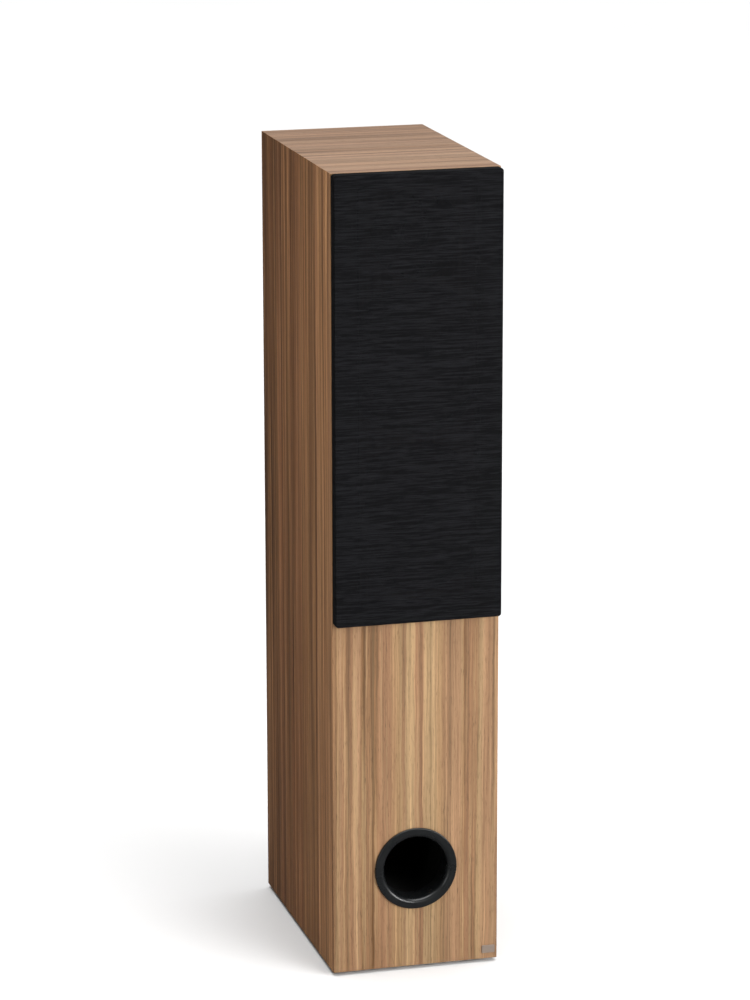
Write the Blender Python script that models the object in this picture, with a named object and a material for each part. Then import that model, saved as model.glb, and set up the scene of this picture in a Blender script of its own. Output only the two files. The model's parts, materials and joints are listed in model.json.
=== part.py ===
"""A slim floorstanding loudspeaker: mitred veneered cabinet, two bass-midrange drivers, a dome
tweeter, a front reflex port, a lift-off cloth grille and a pair of binding posts.

Metres, +Z up. The front faces -Y. The origin is at the middle of the footprint, on the floor.
Turned pieces are outlines of (radius, depth) points spun about their own Y axis. The depths of the
drivers, the port and the grille are counted back from the baffle's face.
"""

import math

import bmesh
import bpy
from mathutils import Vector

# ---------------------------------------------------------------- driving dimensions
GAP = 0.0003

CABINET_WIDTH = 0.190
CABINET_HEIGHT = 0.900
CABINET_DEPTH = 0.310
PANEL = 0.018
FOOT_HEIGHT = 0.004
FOOT_RADIUS = 0.011
FOOT_INSET = 0.023

GRILLE_WIDTH = 0.188
GRILLE_HEIGHT = 0.497
GRILLE_PROUD = 0.0136
GRILLE_CORNER = 0.0035
CLOTH = 0.0005
PEG_X = 0.073
PEG_RADIUS = 0.0023
PEG_BELOW_TOP = 0.033
PEG_ABOVE_BOTTOM = 0.022

WOOFER_SPACING = 0.176
UPPER_WOOFER_HEIGHT = 0.694
WOOFER_RADIUS = 0.083
WOOFER_HOLE = 0.073
WOOFER_RIM = 0.0042
BASKET_BACK = 0.058
COIL_RADIUS = 0.0129
CONE_RADIUS = 0.059
MAGNET_RADIUS = 0.045

TWEETER_HEIGHT = 0.831
TWEETER_RADIUS = 0.049
TWEETER_HOLE = 0.0375
TWEETER_RIM = 0.0040
TWEETER_THROAT = 0.0174
TWEETER_COIL_RADIUS = 0.0126
TWEETER_MAGNET_RADIUS = 0.036

PORT_HEIGHT = 0.115
PORT_RADIUS = 0.047
PORT_THROAT = 0.036
PORT_HOLE = 0.0398
PORT_LENGTH = 0.140

TERMINAL_HEIGHT = 0.250
PLATE_THICKNESS = 0.003
POST_SPACING = 0.030
POST_RADIUS = 0.003
POST_PROUD = 0.021

# how finely round pieces are cut
LARGE_ROUND = 28
DRIVER_ROUND = 24
MEDIUM_ROUND = 16
SMALL_ROUND = 12

# ---------------------------------------------------------------- derived places
HALF_WIDTH = CABINET_WIDTH / 2
DEPTH_BEHIND = GAP + PLATE_THICKNESS + POST_PROUD
FRONT = (GRILLE_PROUD - CABINET_DEPTH - DEPTH_BEHIND) / 2
BACK = FRONT + CABINET_DEPTH
BOTTOM = FOOT_HEIGHT
TOP = BOTTOM + CABINET_HEIGHT
MIDDLE_Y = (FRONT + BACK) / 2
MIDDLE_Z = (BOTTOM + TOP) / 2
INNER_HALF_WIDTH = HALF_WIDTH - PANEL - GAP
INNER_BACK = BACK - PANEL - GAP
FLOOR = BOTTOM + PANEL + GAP

UPPER_WOOFER_Z = BOTTOM + UPPER_WOOFER_HEIGHT
LOWER_WOOFER_Z = UPPER_WOOFER_Z - WOOFER_SPACING
TWEETER_Z = BOTTOM + TWEETER_HEIGHT
PORT_Z = BOTTOM + PORT_HEIGHT
BRACE_Z = (UPPER_WOOFER_Z + LOWER_WOOFER_Z) / 2

GRILLE_TOP = TOP - 0.0005
GRILLE_BOTTOM = GRILLE_TOP - GRILLE_HEIGHT
GRILLE_Z = (GRILLE_TOP + GRILLE_BOTTOM) / 2
FRAME_FRONT = CLOTH + GAP - GRILLE_PROUD
PEG_PLACES = {
    f"{level}_{side}": (sign * PEG_X, height)
    for level, height in (
        ("top", GRILLE_TOP - PEG_BELOW_TOP),
        ("bottom", GRILLE_BOTTOM + PEG_ABOVE_BOTTOM),
    )
    for side, sign in (("left", -1), ("right", 1))
}

TERMINAL_Z = BOTTOM + TERMINAL_HEIGHT
PLATE_FACE = BACK + GAP + PLATE_THICKNESS


# ---------------------------------------------------------------- scene and materials
def clear_scene():
    for obj in list(bpy.data.objects):
        bpy.data.objects.remove(obj, do_unlink=True)


def material(name, colour, roughness, metallic=0.0):
    made = bpy.data.materials.new(name)
    made.use_nodes = True
    shader = made.node_tree.nodes["Principled BSDF"]
    shader.inputs["Base Color"].default_value = (*colour, 1.0)
    shader.inputs["Roughness"].default_value = roughness
    shader.inputs["Metallic"].default_value = metallic
    made.diffuse_color = (*colour, 1.0)
    return made


def empty(name, location):
    """An axis or reference point that the pieces of one sub-assembly are parented to."""
    made = bpy.data.objects.new(name, None)
    made.location = location
    made.empty_display_size = 0.02
    bpy.context.scene.collection.objects.link(made)
    return made


def finish(name, bm, look=None, location=(0, 0, 0), parent=None):
    """Turns a bmesh into a named object, shaded smooth except at edges over 35 degrees."""
    bmesh.ops.recalc_face_normals(bm, faces=bm.faces)
    mesh = bpy.data.meshes.new(name)
    bm.to_mesh(mesh)
    bm.free()
    mesh.shade_smooth()
    mesh.set_sharp_from_angle(angle=math.radians(35))
    obj = bpy.data.objects.new(name, mesh)
    bpy.context.scene.collection.objects.link(obj)
    obj.location = location
    obj.parent = parent
    if look:
        mesh.materials.append(look)
    return obj


# ---------------------------------------------------------------- outlines
def arc(centre, radius, start, end, count):
    """Points along an arc, at angles in degrees from the first axis towards the second."""
    angles = [math.radians(start + (end - start) * i / (count - 1)) for i in range(count)]
    return [(centre[0] + radius * math.cos(a), centre[1] + radius * math.sin(a)) for a in angles]


def ring(inner, outer, near, far):
    """Outline of a plain ring, tube or washer; with inner at 0 it is a solid disc or rod."""
    return [(inner, near), (outer, near), (outer, far), (inner, far)]


def dome(radius, crest, base, thickness, count):
    """The front and the back of a thin spherical cap, each from its crest outwards."""
    rise = base - crest
    curve = (radius**2 + rise**2) / (2 * rise)
    spread = math.degrees(math.asin(radius / curve))
    centre = (0, crest + curve)
    front = arc(centre, curve, -90, -90 + spread, count)
    back = arc(centre, curve - thickness, -90, -90 + spread, count)
    return front, back


def rounded_rectangle(width, height, radius, corner_steps=3):
    """Outline of a rectangle with round corners, centred on the origin, anticlockwise."""
    outline = []
    for quarter, (sx, sz) in enumerate(((1, 1), (-1, 1), (-1, -1), (1, -1))):
        centre = (sx * (width / 2 - radius), sz * (height / 2 - radius))
        outline += arc(centre, radius, 90 * quarter, 90 * quarter + 90, corner_steps + 1)
    return outline


# ---------------------------------------------------------------- shapes
def box_mesh(low, high):
    bm = bmesh.new()
    bmesh.ops.create_cube(bm, size=1.0)
    low, high = Vector(low), Vector(high)
    for vert in bm.verts:
        vert.co = (low + high) / 2 + Vector(c * s for c, s in zip(vert.co, high - low))
    return bm


def prism_mesh(outline, near, far):
    """Extrudes an (x, z) outline along Y, from near to far."""
    bm = bmesh.new()
    face = bm.faces.new([bm.verts.new((x, near, z)) for x, z in outline])
    made = bmesh.ops.extrude_face_region(bm, geom=[face])
    verts = [v for v in made["geom"] if isinstance(v, bmesh.types.BMVert)]
    bmesh.ops.translate(bm, verts=verts, vec=(0, far - near, 0))
    return bm


def turned_mesh(outline, segments):
    """Spins a closed (radius, depth) outline about the Y axis."""
    bm = bmesh.new()
    points = [bm.verts.new((radius, depth, 0.0)) for radius, depth in outline]
    edges = [bm.edges.new(pair) for pair in zip(points, points[1:] + points[:1])]
    bmesh.ops.spin(
        bm,
        geom=points + edges,
        cent=(0, 0, 0),
        axis=(0, 1, 0),
        angle=math.tau,
        steps=segments,
        use_merge=True,
    )
    bmesh.ops.remove_doubles(bm, verts=bm.verts, dist=1e-6)
    flat = [face for face in bm.faces if face.calc_area() < 1e-12]
    bmesh.ops.delete(bm, geom=flat, context="FACES")
    loose = [edge for edge in bm.edges if not edge.link_faces]
    bmesh.ops.delete(bm, geom=loose, context="EDGES")
    return bm


def turned(name, outline, segments, look=None, parent=None, location=(0, 0, 0)):
    return finish(name, turned_mesh(outline, segments), look, location, parent)


def stand_upright(obj):
    """Turns a piece's own axis from Y to Z."""
    obj.rotation_euler = (math.radians(90), 0, 0)


def boolean(target, cutter, operation="DIFFERENCE"):
    """Cuts a hidden helper out of the target, or joins it on."""
    cutter.hide_render = True
    cutter.display_type = "WIRE"
    modifier = target.modifiers.new(cutter.name, "BOOLEAN")
    modifier.operation = operation
    modifier.solver = "EXACT"
    modifier.object = cutter


def drill(target, name, outline, segments, location):
    """Cuts a turned hole whose axis runs along Y through location."""
    boolean(target, turned(name, outline, segments, location=location))


# ---------------------------------------------------------------- cabinet
def mitred_panel(name, half_size, centre, normal_axis, outward, mitres, look):
    """A panel whose edges lean in at 45 degrees wherever two veneered faces meet.

    half_size and mitres are given for the two axes across the panel, in X, Y, Z order. Each entry
    of mitres says whether the low and the high edge on that axis is mitred; the others are square.
    """
    across = [axis for axis in range(3) if axis != normal_axis]
    clearance = GAP / math.sqrt(2)
    bm = bmesh.new()
    outer, inner = [], []
    for loop, depth in ((outer, 0.0), (inner, PANEL)):
        for signs in ((-1, -1), (1, -1), (1, 1), (-1, 1)):
            place = Vector(centre)
            place[normal_axis] -= outward * depth
            for axis, sign, half, mitre in zip(across, signs, half_size, mitres):
                lean = depth + clearance if mitre[(sign + 1) // 2] else 0.0
                place[axis] += sign * (half - lean)
            loop.append(bm.verts.new(place))
    bm.faces.new(outer)
    bm.faces.new(inner)
    for i in range(4):
        bm.faces.new((outer[i], outer[i - 1], inner[i - 1], inner[i]))
    return finish(name, bm, look)


def build_cabinet(veneer):
    half_height = CABINET_HEIGHT / 2
    half_depth = CABINET_DEPTH / 2
    both, front_only = (True, True), (True, False)
    for name, side in (("left_side_panel", -1), ("right_side_panel", 1)):
        centre = (side * HALF_WIDTH, MIDDLE_Y, MIDDLE_Z)
        mitred_panel(name, (half_depth, half_height), centre, 0, side, (front_only, both), veneer)
    for name, level, outward in (("top_panel", TOP, 1), ("bottom_panel", BOTTOM, -1)):
        centre = (0, MIDDLE_Y, level)
        mitred_panel(name, (HALF_WIDTH, half_depth), centre, 2, outward, (both, front_only), veneer)
    centre = (0, FRONT, MIDDLE_Z)
    baffle = mitred_panel(
        "front_baffle", (HALF_WIDTH, half_height), centre, 1, -1, (both, both), veneer
    )
    cut_baffle(baffle)
    back_low = (-INNER_HALF_WIDTH, BACK - PANEL, FLOOR)
    back_high = (INNER_HALF_WIDTH, BACK, TOP - PANEL - GAP)
    back = finish("back_panel", box_mesh(back_low, back_high), veneer)
    cable_hole = ring(0, 0.030, -0.05, 0.05)
    drill(back, "terminal_hole", cable_hole, MEDIUM_ROUND, (0, BACK, TERMINAL_Z))


def cut_baffle(baffle):
    """Rebated holes for the three drivers, a plain one for the port and four for the sockets."""
    ahead, behind = -0.01, PANEL + 0.01
    holes = (
        ("upper_woofer", UPPER_WOOFER_Z, WOOFER_RADIUS, WOOFER_RIM, WOOFER_HOLE),
        ("lower_woofer", LOWER_WOOFER_Z, WOOFER_RADIUS, WOOFER_RIM, WOOFER_HOLE),
        ("tweeter", TWEETER_Z, TWEETER_RADIUS, TWEETER_RIM, TWEETER_HOLE),
    )
    for name, height, rim, rim_depth, hole in holes:
        rebate = [(0, ahead), (rim + GAP, ahead), (rim + GAP, rim_depth + GAP)]
        rebate += [(hole, rim_depth + GAP), (hole, behind), (0, behind)]
        drill(baffle, f"{name}_hole", rebate, DRIVER_ROUND, (0, FRONT, height))
    port_hole = ring(0, PORT_HOLE, ahead, behind)
    drill(baffle, "port_hole", port_hole, LARGE_ROUND, (0, FRONT, PORT_Z))
    socket_hole = [(0, ahead), (0.0068, ahead), (0.0068, 0.0011), (0.0053, 0.0011)]
    socket_hole += [(0.0053, 0.0124), (0, 0.0124)]
    for place, (x, z) in PEG_PLACES.items():
        drill(baffle, f"socket_hole_{place}", socket_hole, SMALL_ROUND, (x, FRONT, z))


def build_brace(mdf):
    """A level frame between the woofers that ties the side walls and the back together."""
    front, rail, half_thickness = FRONT + 0.105, 0.012, 0.0075
    low = (-INNER_HALF_WIDTH, front, BRACE_Z - half_thickness)
    high = (INNER_HALF_WIDTH, INNER_BACK, BRACE_Z + half_thickness)
    brace = finish("cabinet_brace", box_mesh(low, high), mdf)
    window_half = INNER_HALF_WIDTH - rail
    low = (-window_half, front + rail, BRACE_Z - 2 * half_thickness)
    high = (window_half, INNER_BACK - 2 * rail, BRACE_Z + 2 * half_thickness)
    boolean(brace, finish("brace_window", box_mesh(low, high)))


def build_feet(rubber):
    """Four adhesive rubber pads, set in far enough to stay out of sight from above."""
    upper_face, edge = FOOT_HEIGHT - GAP, 0.0008
    outline = [(0, 0), (FOOT_RADIUS - edge, 0), (FOOT_RADIUS, edge), (FOOT_RADIUS, upper_face)]
    outline.append((0, upper_face))
    for end, y in (("front", FRONT + FOOT_INSET), ("back", BACK - FOOT_INSET)):
        for side, x in (("left", FOOT_INSET - HALF_WIDTH), ("right", HALF_WIDTH - FOOT_INSET)):
            foot = turned(f"rubber_foot_{end}_{side}", outline, MEDIUM_ROUND, rubber)
            foot.location = (x, y, 0)
            stand_upright(foot)


def build_badge(aluminium):
    """A blank metal badge in the bottom right corner of the baffle."""
    width, height, thickness = 0.015, 0.009, 0.0008
    place = (HALF_WIDTH - 0.0105, FRONT, BOTTOM + 0.0115)
    outline = rounded_rectangle(width, height, 0.001)
    finish("badge_plate", prism_mesh(outline, -GAP - thickness, -GAP), aluminium, place)


def build_wadding(fleece):
    """A pad of polyester fleece against the back wall, behind the tweeter and upper woofer."""
    half_width, thickness, clear = 0.060, 0.060, 0.030
    low = (-half_width, INNER_BACK - thickness, BRACE_Z + clear)
    high = (half_width, INNER_BACK, TOP - PANEL - clear)
    bm = box_mesh(low, high)
    bmesh.ops.bevel(bm, geom=bm.edges[:], offset=0.018, segments=2, profile=0.5, affect="EDGES")
    finish("acoustic_wadding", bm, fleece)


# ---------------------------------------------------------------- bass-midrange drivers
def basket_outline():
    """Rim, conical wall, spider ledge and motor seat of a pressed steel frame."""
    outside = [(WOOFER_RADIUS, 0), (WOOFER_RADIUS, WOOFER_RIM), (0.0724, WOOFER_RIM)]
    outside += [(0.0714, 0.0130), (0.0535, 0.0360), (0.0535, 0.0390), (0.0462, 0.0390)]
    outside += [(0.0462, BASKET_BACK), (0.0190, BASKET_BACK)]
    inside = [(0.0190, 0.0564), (0.0446, 0.0564), (0.0446, 0.0374), (0.0519, 0.0374)]
    inside += [(0.0519, 0.0354), (0.0697, 0.0126), (0.0706, 0.0018), (0.0760, 0.0018)]
    return outside + inside + [(0.0760, 0)]


def surround_outline():
    """A half-roll of rubber with one lip on the cone and the other on the basket."""
    middle, roll, rubber, lip = 0.0645, 0.0055, 0.0009, 0.0005
    front = arc((middle, lip), roll, 180, 360, 5)
    back = arc((middle, lip + rubber), roll - rubber, 360, 180, 5)
    inner, outer = 0.0565, 0.0757
    front = [(inner, lip)] + front + [(outer, lip)]
    return front + [(outer, lip + rubber)] + back + [(inner, lip + rubber)]


def cone_outline():
    """A shallow curved cone between the surround and the voice coil."""
    front = [(CONE_RADIUS, 0.0018), (0.0360, 0.0140), (0.0137, 0.0315)]
    back = [(0.0137, 0.0327), (0.0360, 0.0152), (CONE_RADIUS, 0.0028)]
    return front + back


def spider_outline():
    """A corrugated cloth disc between the coil former and the basket's ledge."""
    folds, inner, outer, level, height, thickness = 4, 0.0185, 0.0440, 0.0366, 0.0016, 0.0005
    front = [(0.0137, level), (inner, level)]
    for i in range(folds):
        radius = inner + (outer - inner) * (i + 0.5) / folds
        front.append((radius, level - height if i % 2 else level + height))
    front += [(outer, level), (0.0514, level)]
    return front + [(radius, depth + thickness) for radius, depth in reversed(front)]


def build_woofer(name, height, looks):
    axis = empty(f"{name}_axis", (0, FRONT, height))
    basket = turned(f"{name}_basket", basket_outline(), DRIVER_ROUND, looks["basket"], axis)
    cut_basket_windows(basket, name, height)
    turned(f"{name}_surround", surround_outline(), DRIVER_ROUND, looks["rubber"], axis)
    turned(f"{name}_cone", cone_outline(), DRIVER_ROUND, looks["cone"], axis)
    front, back = dome(0.019, 0.0208, 0.0267, 0.0008, 4)
    turned(f"{name}_dust_cap", front + back[::-1], MEDIUM_ROUND, looks["cone"], axis)
    turned(f"{name}_spider", spider_outline(), MEDIUM_ROUND, looks["spider"], axis)
    build_woofer_motor(name, axis, looks)


def cut_basket_windows(basket, name, height):
    """Three slots right across the basket leave six ribs between its windows."""
    reach, near, far, half_width = 0.1, 0.0165, 0.0335, 0.017
    for i in range(3):
        slot_mesh = box_mesh((-reach, near, -half_width), (reach, far, half_width))
        slot = finish(f"{name}_slot_{i}", slot_mesh, location=(0, FRONT, height))
        slot.rotation_euler = (0, math.radians(60 * i + 30), 0)
        boolean(basket, slot)


def build_woofer_motor(name, axis, looks):
    """A winding on its former, between the pole and the ring of steel on a ferrite magnet."""
    coil_front, winding_front, coil_back, former, winding = 0.0318, 0.0540, 0.0670, 0.0004, 0.0011
    coil = [(COIL_RADIUS, coil_front), (COIL_RADIUS + former, coil_front)]
    coil += [(COIL_RADIUS + former, winding_front), (COIL_RADIUS + winding, winding_front)]
    coil += [(COIL_RADIUS + winding, coil_back), (COIL_RADIUS, coil_back)]
    turned(f"{name}_voice_coil", coil, SMALL_ROUND, looks["copper"], axis)

    play, plate, magnet, disc = 0.0008, 0.0050, 0.0160, 0.0055
    plate_front = BASKET_BACK + GAP
    magnet_front = plate_front + plate + GAP
    disc_front = magnet_front + magnet + GAP
    gap_wall = COIL_RADIUS + winding + play
    top_plate = ring(gap_wall, MAGNET_RADIUS, plate_front, plate_front + plate)
    turned(f"{name}_top_plate", top_plate, MEDIUM_ROUND, looks["steel"], axis)
    magnet_ring = ring(0.022, MAGNET_RADIUS, magnet_front, magnet_front + magnet)
    turned(f"{name}_magnet", magnet_ring, MEDIUM_ROUND, looks["ferrite"], axis)
    pole, disc_radius = COIL_RADIUS - play, MAGNET_RADIUS - 0.002
    yoke = [(0, plate_front), (pole, plate_front), (pole, disc_front), (disc_radius, disc_front)]
    yoke += [(disc_radius, disc_front + disc), (0, disc_front + disc)]
    turned(f"{name}_yoke", yoke, MEDIUM_ROUND, looks["steel"], axis)


# ---------------------------------------------------------------- tweeter
def build_tweeter(looks):
    axis = empty("tweeter_axis", (0, FRONT, TWEETER_Z))
    back = 0.0082
    faceplate = [(TWEETER_RADIUS, TWEETER_RIM), (TWEETER_RADIUS, 0), (0.038, 0), (0.030, 0.0018)]
    faceplate += [(TWEETER_THROAT, 0.0071), (TWEETER_THROAT, back)]
    faceplate += [(TWEETER_MAGNET_RADIUS, back), (TWEETER_MAGNET_RADIUS, TWEETER_RIM)]
    turned("tweeter_faceplate", faceplate, DRIVER_ROUND, looks["faceplate"], axis)
    turned("tweeter_dome", tweeter_diaphragm_outline(), MEDIUM_ROUND, looks["silk"], axis)
    coil = ring(TWEETER_COIL_RADIUS, TWEETER_COIL_RADIUS + 0.0005, 0.0100, 0.0140)
    turned("tweeter_voice_coil", coil, SMALL_ROUND, looks["copper"], axis)

    play, plate, magnet, disc, plate_front = 0.0008, 0.0040, 0.0120, 0.0040, 0.0106
    magnet_front = plate_front + plate + GAP
    disc_front = magnet_front + magnet + GAP
    gap_wall = TWEETER_COIL_RADIUS + 0.0005 + play
    top_plate = ring(gap_wall, TWEETER_MAGNET_RADIUS, plate_front, plate_front + plate)
    turned("tweeter_top_plate", top_plate, MEDIUM_ROUND, looks["steel"], axis)
    magnet_ring = ring(0.019, TWEETER_MAGNET_RADIUS, magnet_front, magnet_front + magnet)
    turned("tweeter_magnet", magnet_ring, MEDIUM_ROUND, looks["ferrite"], axis)
    pole, disc_radius = TWEETER_COIL_RADIUS - play, TWEETER_MAGNET_RADIUS - 0.002
    yoke = [(0, plate_front), (pole, plate_front), (pole, disc_front), (disc_radius, disc_front)]
    yoke += [(disc_radius, disc_front + disc), (0, disc_front + disc)]
    turned("tweeter_yoke", yoke, MEDIUM_ROUND, looks["steel"], axis)


def tweeter_diaphragm_outline():
    """Dome, half-roll and clamped lip in one moulded textile piece."""
    base, silk, roll, roll_middle, lip_end = 0.0094, 0.0003, 0.0016, 0.0148, 0.0190
    front, back = dome(0.0128, 0.0038, base, silk, 4)
    lip = base - 0.0001
    roll_front = arc((roll_middle, lip), roll, 180, 360, 4)
    roll_back = arc((roll_middle, lip), roll - silk, 360, 180, 4)
    return front + roll_front + [(lip_end, lip), (lip_end, lip + silk)] + roll_back + back[::-1]


# ---------------------------------------------------------------- reflex port
def build_port(plastic, card):
    """A flared moulding glued into the front of a long card tube."""
    axis = empty("port_axis", (0, FRONT, PORT_Z))
    sleeve, sleeve_end, lip, edge, flare = 0.0374, 0.024, 0.0026, 0.0012, 0.005
    flange = [(sleeve, sleeve_end), (sleeve, -GAP), (PORT_RADIUS, -GAP)]
    flange += arc((PORT_RADIUS - edge, edge - lip), edge, 0, -90, 3)
    flange += arc((PORT_THROAT + flare, flare - lip), flare, -90, -180, 4)
    flange += [(PORT_THROAT, sleeve_end)]
    turned("port_flange", flange, LARGE_ROUND, plastic, axis)
    tube = ring(sleeve + GAP, PORT_HOLE - 0.0004, 2 * GAP, PORT_LENGTH)
    turned("port_tube", tube, LARGE_ROUND, card, axis)


# ---------------------------------------------------------------- grille
def build_grille(looks):
    """A rigid frame with cloth stretched over its front."""
    place = empty("grille_axis", (0, FRONT, GRILLE_Z))
    overlap = 2 * (CLOTH + GAP)
    corner = GRILLE_CORNER - CLOTH - GAP
    outline = rounded_rectangle(GRILLE_WIDTH - overlap, GRILLE_HEIGHT - overlap, corner)
    frame_mesh = prism_mesh(outline, FRAME_FRONT, -0.0004)
    frame = finish("grille_frame", frame_mesh, looks["frame"], parent=place)
    cut_grille_frame(frame)
    outline = rounded_rectangle(GRILLE_WIDTH, GRILLE_HEIGHT, GRILLE_CORNER)
    sheet = prism_mesh(outline, -GRILLE_PROUD, CLOTH - GRILLE_PROUD)
    finish("grille_cloth", sheet, looks["cloth"], parent=place)


def cut_grille_frame(frame):
    """Opens the window, clears the woofers' surrounds at the back and bores the peg holes."""
    side_bar, top_bar, bottom_bar, window_corner = 0.028, 0.016, 0.024, 0.004
    ahead, behind = -0.03, 0.02
    low, high = GRILLE_BOTTOM + bottom_bar, GRILLE_TOP - top_bar
    outline = rounded_rectangle(GRILLE_WIDTH - 2 * side_bar, high - low, window_corner)
    window_place = (0, FRONT, (low + high) / 2)
    boolean(frame, finish("frame_window", prism_mesh(outline, ahead, behind), None, window_place))
    relief = ring(0, 0.078, -0.0094, behind)
    for name, height in (("upper", UPPER_WOOFER_Z), ("lower", LOWER_WOOFER_Z)):
        drill(frame, f"{name}_relief", relief, DRIVER_ROUND, (0, FRONT, height))
    peg_hole = ring(0, PEG_RADIUS + GAP, -0.0087, behind)
    for place, (x, z) in PEG_PLACES.items():
        drill(frame, f"peg_hole_{place}", peg_hole, SMALL_ROUND, (x, FRONT, z))


def build_grille_fixings(plastic):
    """Pegs pressed into the frame, each with a collar, and sockets let into the baffle."""
    collar, collar_face, tip, tip_radius = 0.0030, -0.0001, 0.0090, 0.0022
    peg = [(0, -0.0083), (PEG_RADIUS, -0.0083), (PEG_RADIUS, collar_face), (collar, collar_face)]
    peg += [(collar, 0.0072), (tip_radius, tip), (0, tip)]
    bore, body, head, head_depth = 0.0034, 0.0050, 0.0065, 0.0008
    socket = [(bore, 0), (head, 0), (head, head_depth), (body, head_depth), (body, 0.0120)]
    socket += [(0, 0.0120), (0, 0.0105), (bore, 0.0105)]
    for place, (x, z) in PEG_PLACES.items():
        turned(f"grille_peg_{place}", peg, SMALL_ROUND, plastic, location=(x, FRONT, z))
        turned(f"grille_socket_{place}", socket, SMALL_ROUND, plastic, location=(x, FRONT, z))


# ---------------------------------------------------------------- binding posts
def build_terminals(looks):
    """A plate with two threaded posts, each with a captive washer under a screw-down knob."""
    outline = rounded_rectangle(0.084, 0.072, 0.008)
    plate_mesh = prism_mesh(outline, -PLATE_THICKNESS, 0)
    plate = finish("terminal_plate", plate_mesh, looks["faceplate"], (0, PLATE_FACE, TERMINAL_Z))
    post_hole = ring(0, POST_RADIUS + 0.0004, -0.02, 0.02)
    collar, collar_face, end, socket = 0.0078, 0.0028, 0.0200, 0.00205
    post = [(0, -0.012), (POST_RADIUS, -0.012), (POST_RADIUS, GAP), (collar, GAP)]
    post += [(collar, collar_face), (POST_RADIUS, collar_face), (POST_RADIUS, end - 0.0005)]
    post += [(socket, end), (socket, 0.004), (0, 0.004)]
    washer_face = collar_face + GAP
    washer = ring(POST_RADIUS + GAP, 0.0068, washer_face, washer_face + 0.0012)
    for colour, side in (("red", -1), ("black", 1)):
        place = (side * POST_SPACING / 2, PLATE_FACE, TERMINAL_Z)
        drill(plate, f"{colour}_post_hole", post_hole, SMALL_ROUND, place)
        axis = empty(f"{colour}_post_axis", place)
        turned(f"{colour}_post", post, SMALL_ROUND, looks["gold"], axis)
        turned(f"{colour}_washer", washer, MEDIUM_ROUND, looks["gold"], axis)
        knob = knob_mesh(washer_face + 0.0012 + GAP, POST_PROUD)
        finish(f"{colour}_knob", knob, looks[colour], parent=axis)


def knob_mesh(near, far):
    """A nut with twelve flutes, a plain collar at its outer end and a bore right through."""
    flutes, bore, collar, crest, trough, collar_start = 12, 0.0033, 0.0068, 0.0075, 0.0067, 0.0168
    around = 2 * flutes
    fluted = [crest if i % 2 else trough for i in range(around)]
    plain = [collar] * around
    hollow = [bore] * around
    rows = [(near, fluted), (collar_start - 0.0008, fluted), (collar_start, plain), (far, plain)]
    rows += [(far, hollow), (near, hollow)]
    bm = bmesh.new()
    rings = []
    for depth, radii in rows:
        angles = [math.tau * i / around for i in range(around)]
        places = [(r * math.cos(a), depth, r * math.sin(a)) for r, a in zip(radii, angles)]
        rings.append([bm.verts.new(place) for place in places])
    for first, second in zip(rings, rings[1:] + rings[:1]):
        for i in range(around):
            bm.faces.new((first[i - 1], first[i], second[i], second[i - 1]))
    return bm


# ---------------------------------------------------------------- crossover and wiring
def build_crossover(looks):
    """A small board on the floor of the cabinet, behind the port."""
    board, length, half_width = 0.0016, 0.090, 0.055
    back = INNER_BACK - 0.002
    front = back - length
    low, high = (-half_width, front, FLOOR), (half_width, back, FLOOR + board)
    finish("crossover_board", box_mesh(low, high), looks["board"])
    component_base = FLOOR + board + GAP
    winding = ring(0.010, 0.022, 0, 0.018)
    inductor = turned("bass_inductor", winding, MEDIUM_ROUND, looks["copper"])
    inductor.location = (0.028, (front + back) / 2, component_base)
    stand_upright(inductor)
    radius, half_length, edge = 0.0115, 0.020, 0.001
    can = [(0, -half_length), (radius - edge, -half_length), (radius, edge - half_length)]
    can += [(radius, half_length - edge), (radius - edge, half_length), (0, half_length)]
    capacitor = turned("treble_capacitor", can, MEDIUM_ROUND, looks["film"])
    capacitor.location = (-0.022, front + 0.030, component_base + radius)
    capacitor.rotation_euler = (0, 0, math.radians(90))


def smooth_route(points, samples):
    """Evenly spaced steps along a Catmull-Rom curve through the given points."""
    ends = [points[0] * 2 - points[1]] + points + [points[-1] * 2 - points[-2]]
    spans = len(points) - 1
    route = []
    for i in range(samples):
        place = spans * i / (samples - 1)
        span = min(int(place), spans - 1)
        t = place - span
        a, b, c, d = ends[span : span + 4]
        bend = (2 * a - 5 * b + 4 * c - d) * t**2 + (3 * b - a - 3 * c + d) * t**3
        route.append((2 * b + (c - a) * t + bend) / 2)
    return route


def lead_mesh(points, radius, samples):
    """A round wire on a smooth route, as a mesh with closed ends."""
    curve = bpy.data.curves.new("lead_guide", "CURVE")
    curve.dimensions = "3D"
    curve.bevel_depth = radius
    curve.bevel_resolution = 2
    curve.use_fill_caps = True
    spline = curve.splines.new("POLY")
    route = smooth_route([Vector(point) for point in points], samples)
    spline.points.add(len(route) - 1)
    for point, place in zip(spline.points, route):
        point.co = (*place, 1.0)
    guide = bpy.data.objects.new("lead_guide", curve)
    bpy.context.scene.collection.objects.link(guide)
    bpy.context.view_layer.update()
    bm = bmesh.new()
    bm.from_mesh(guide.evaluated_get(bpy.context.evaluated_depsgraph_get()).to_mesh())
    bmesh.ops.remove_doubles(bm, verts=bm.verts, dist=1e-6)
    bpy.data.objects.remove(guide, do_unlink=True)
    return bm


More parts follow.
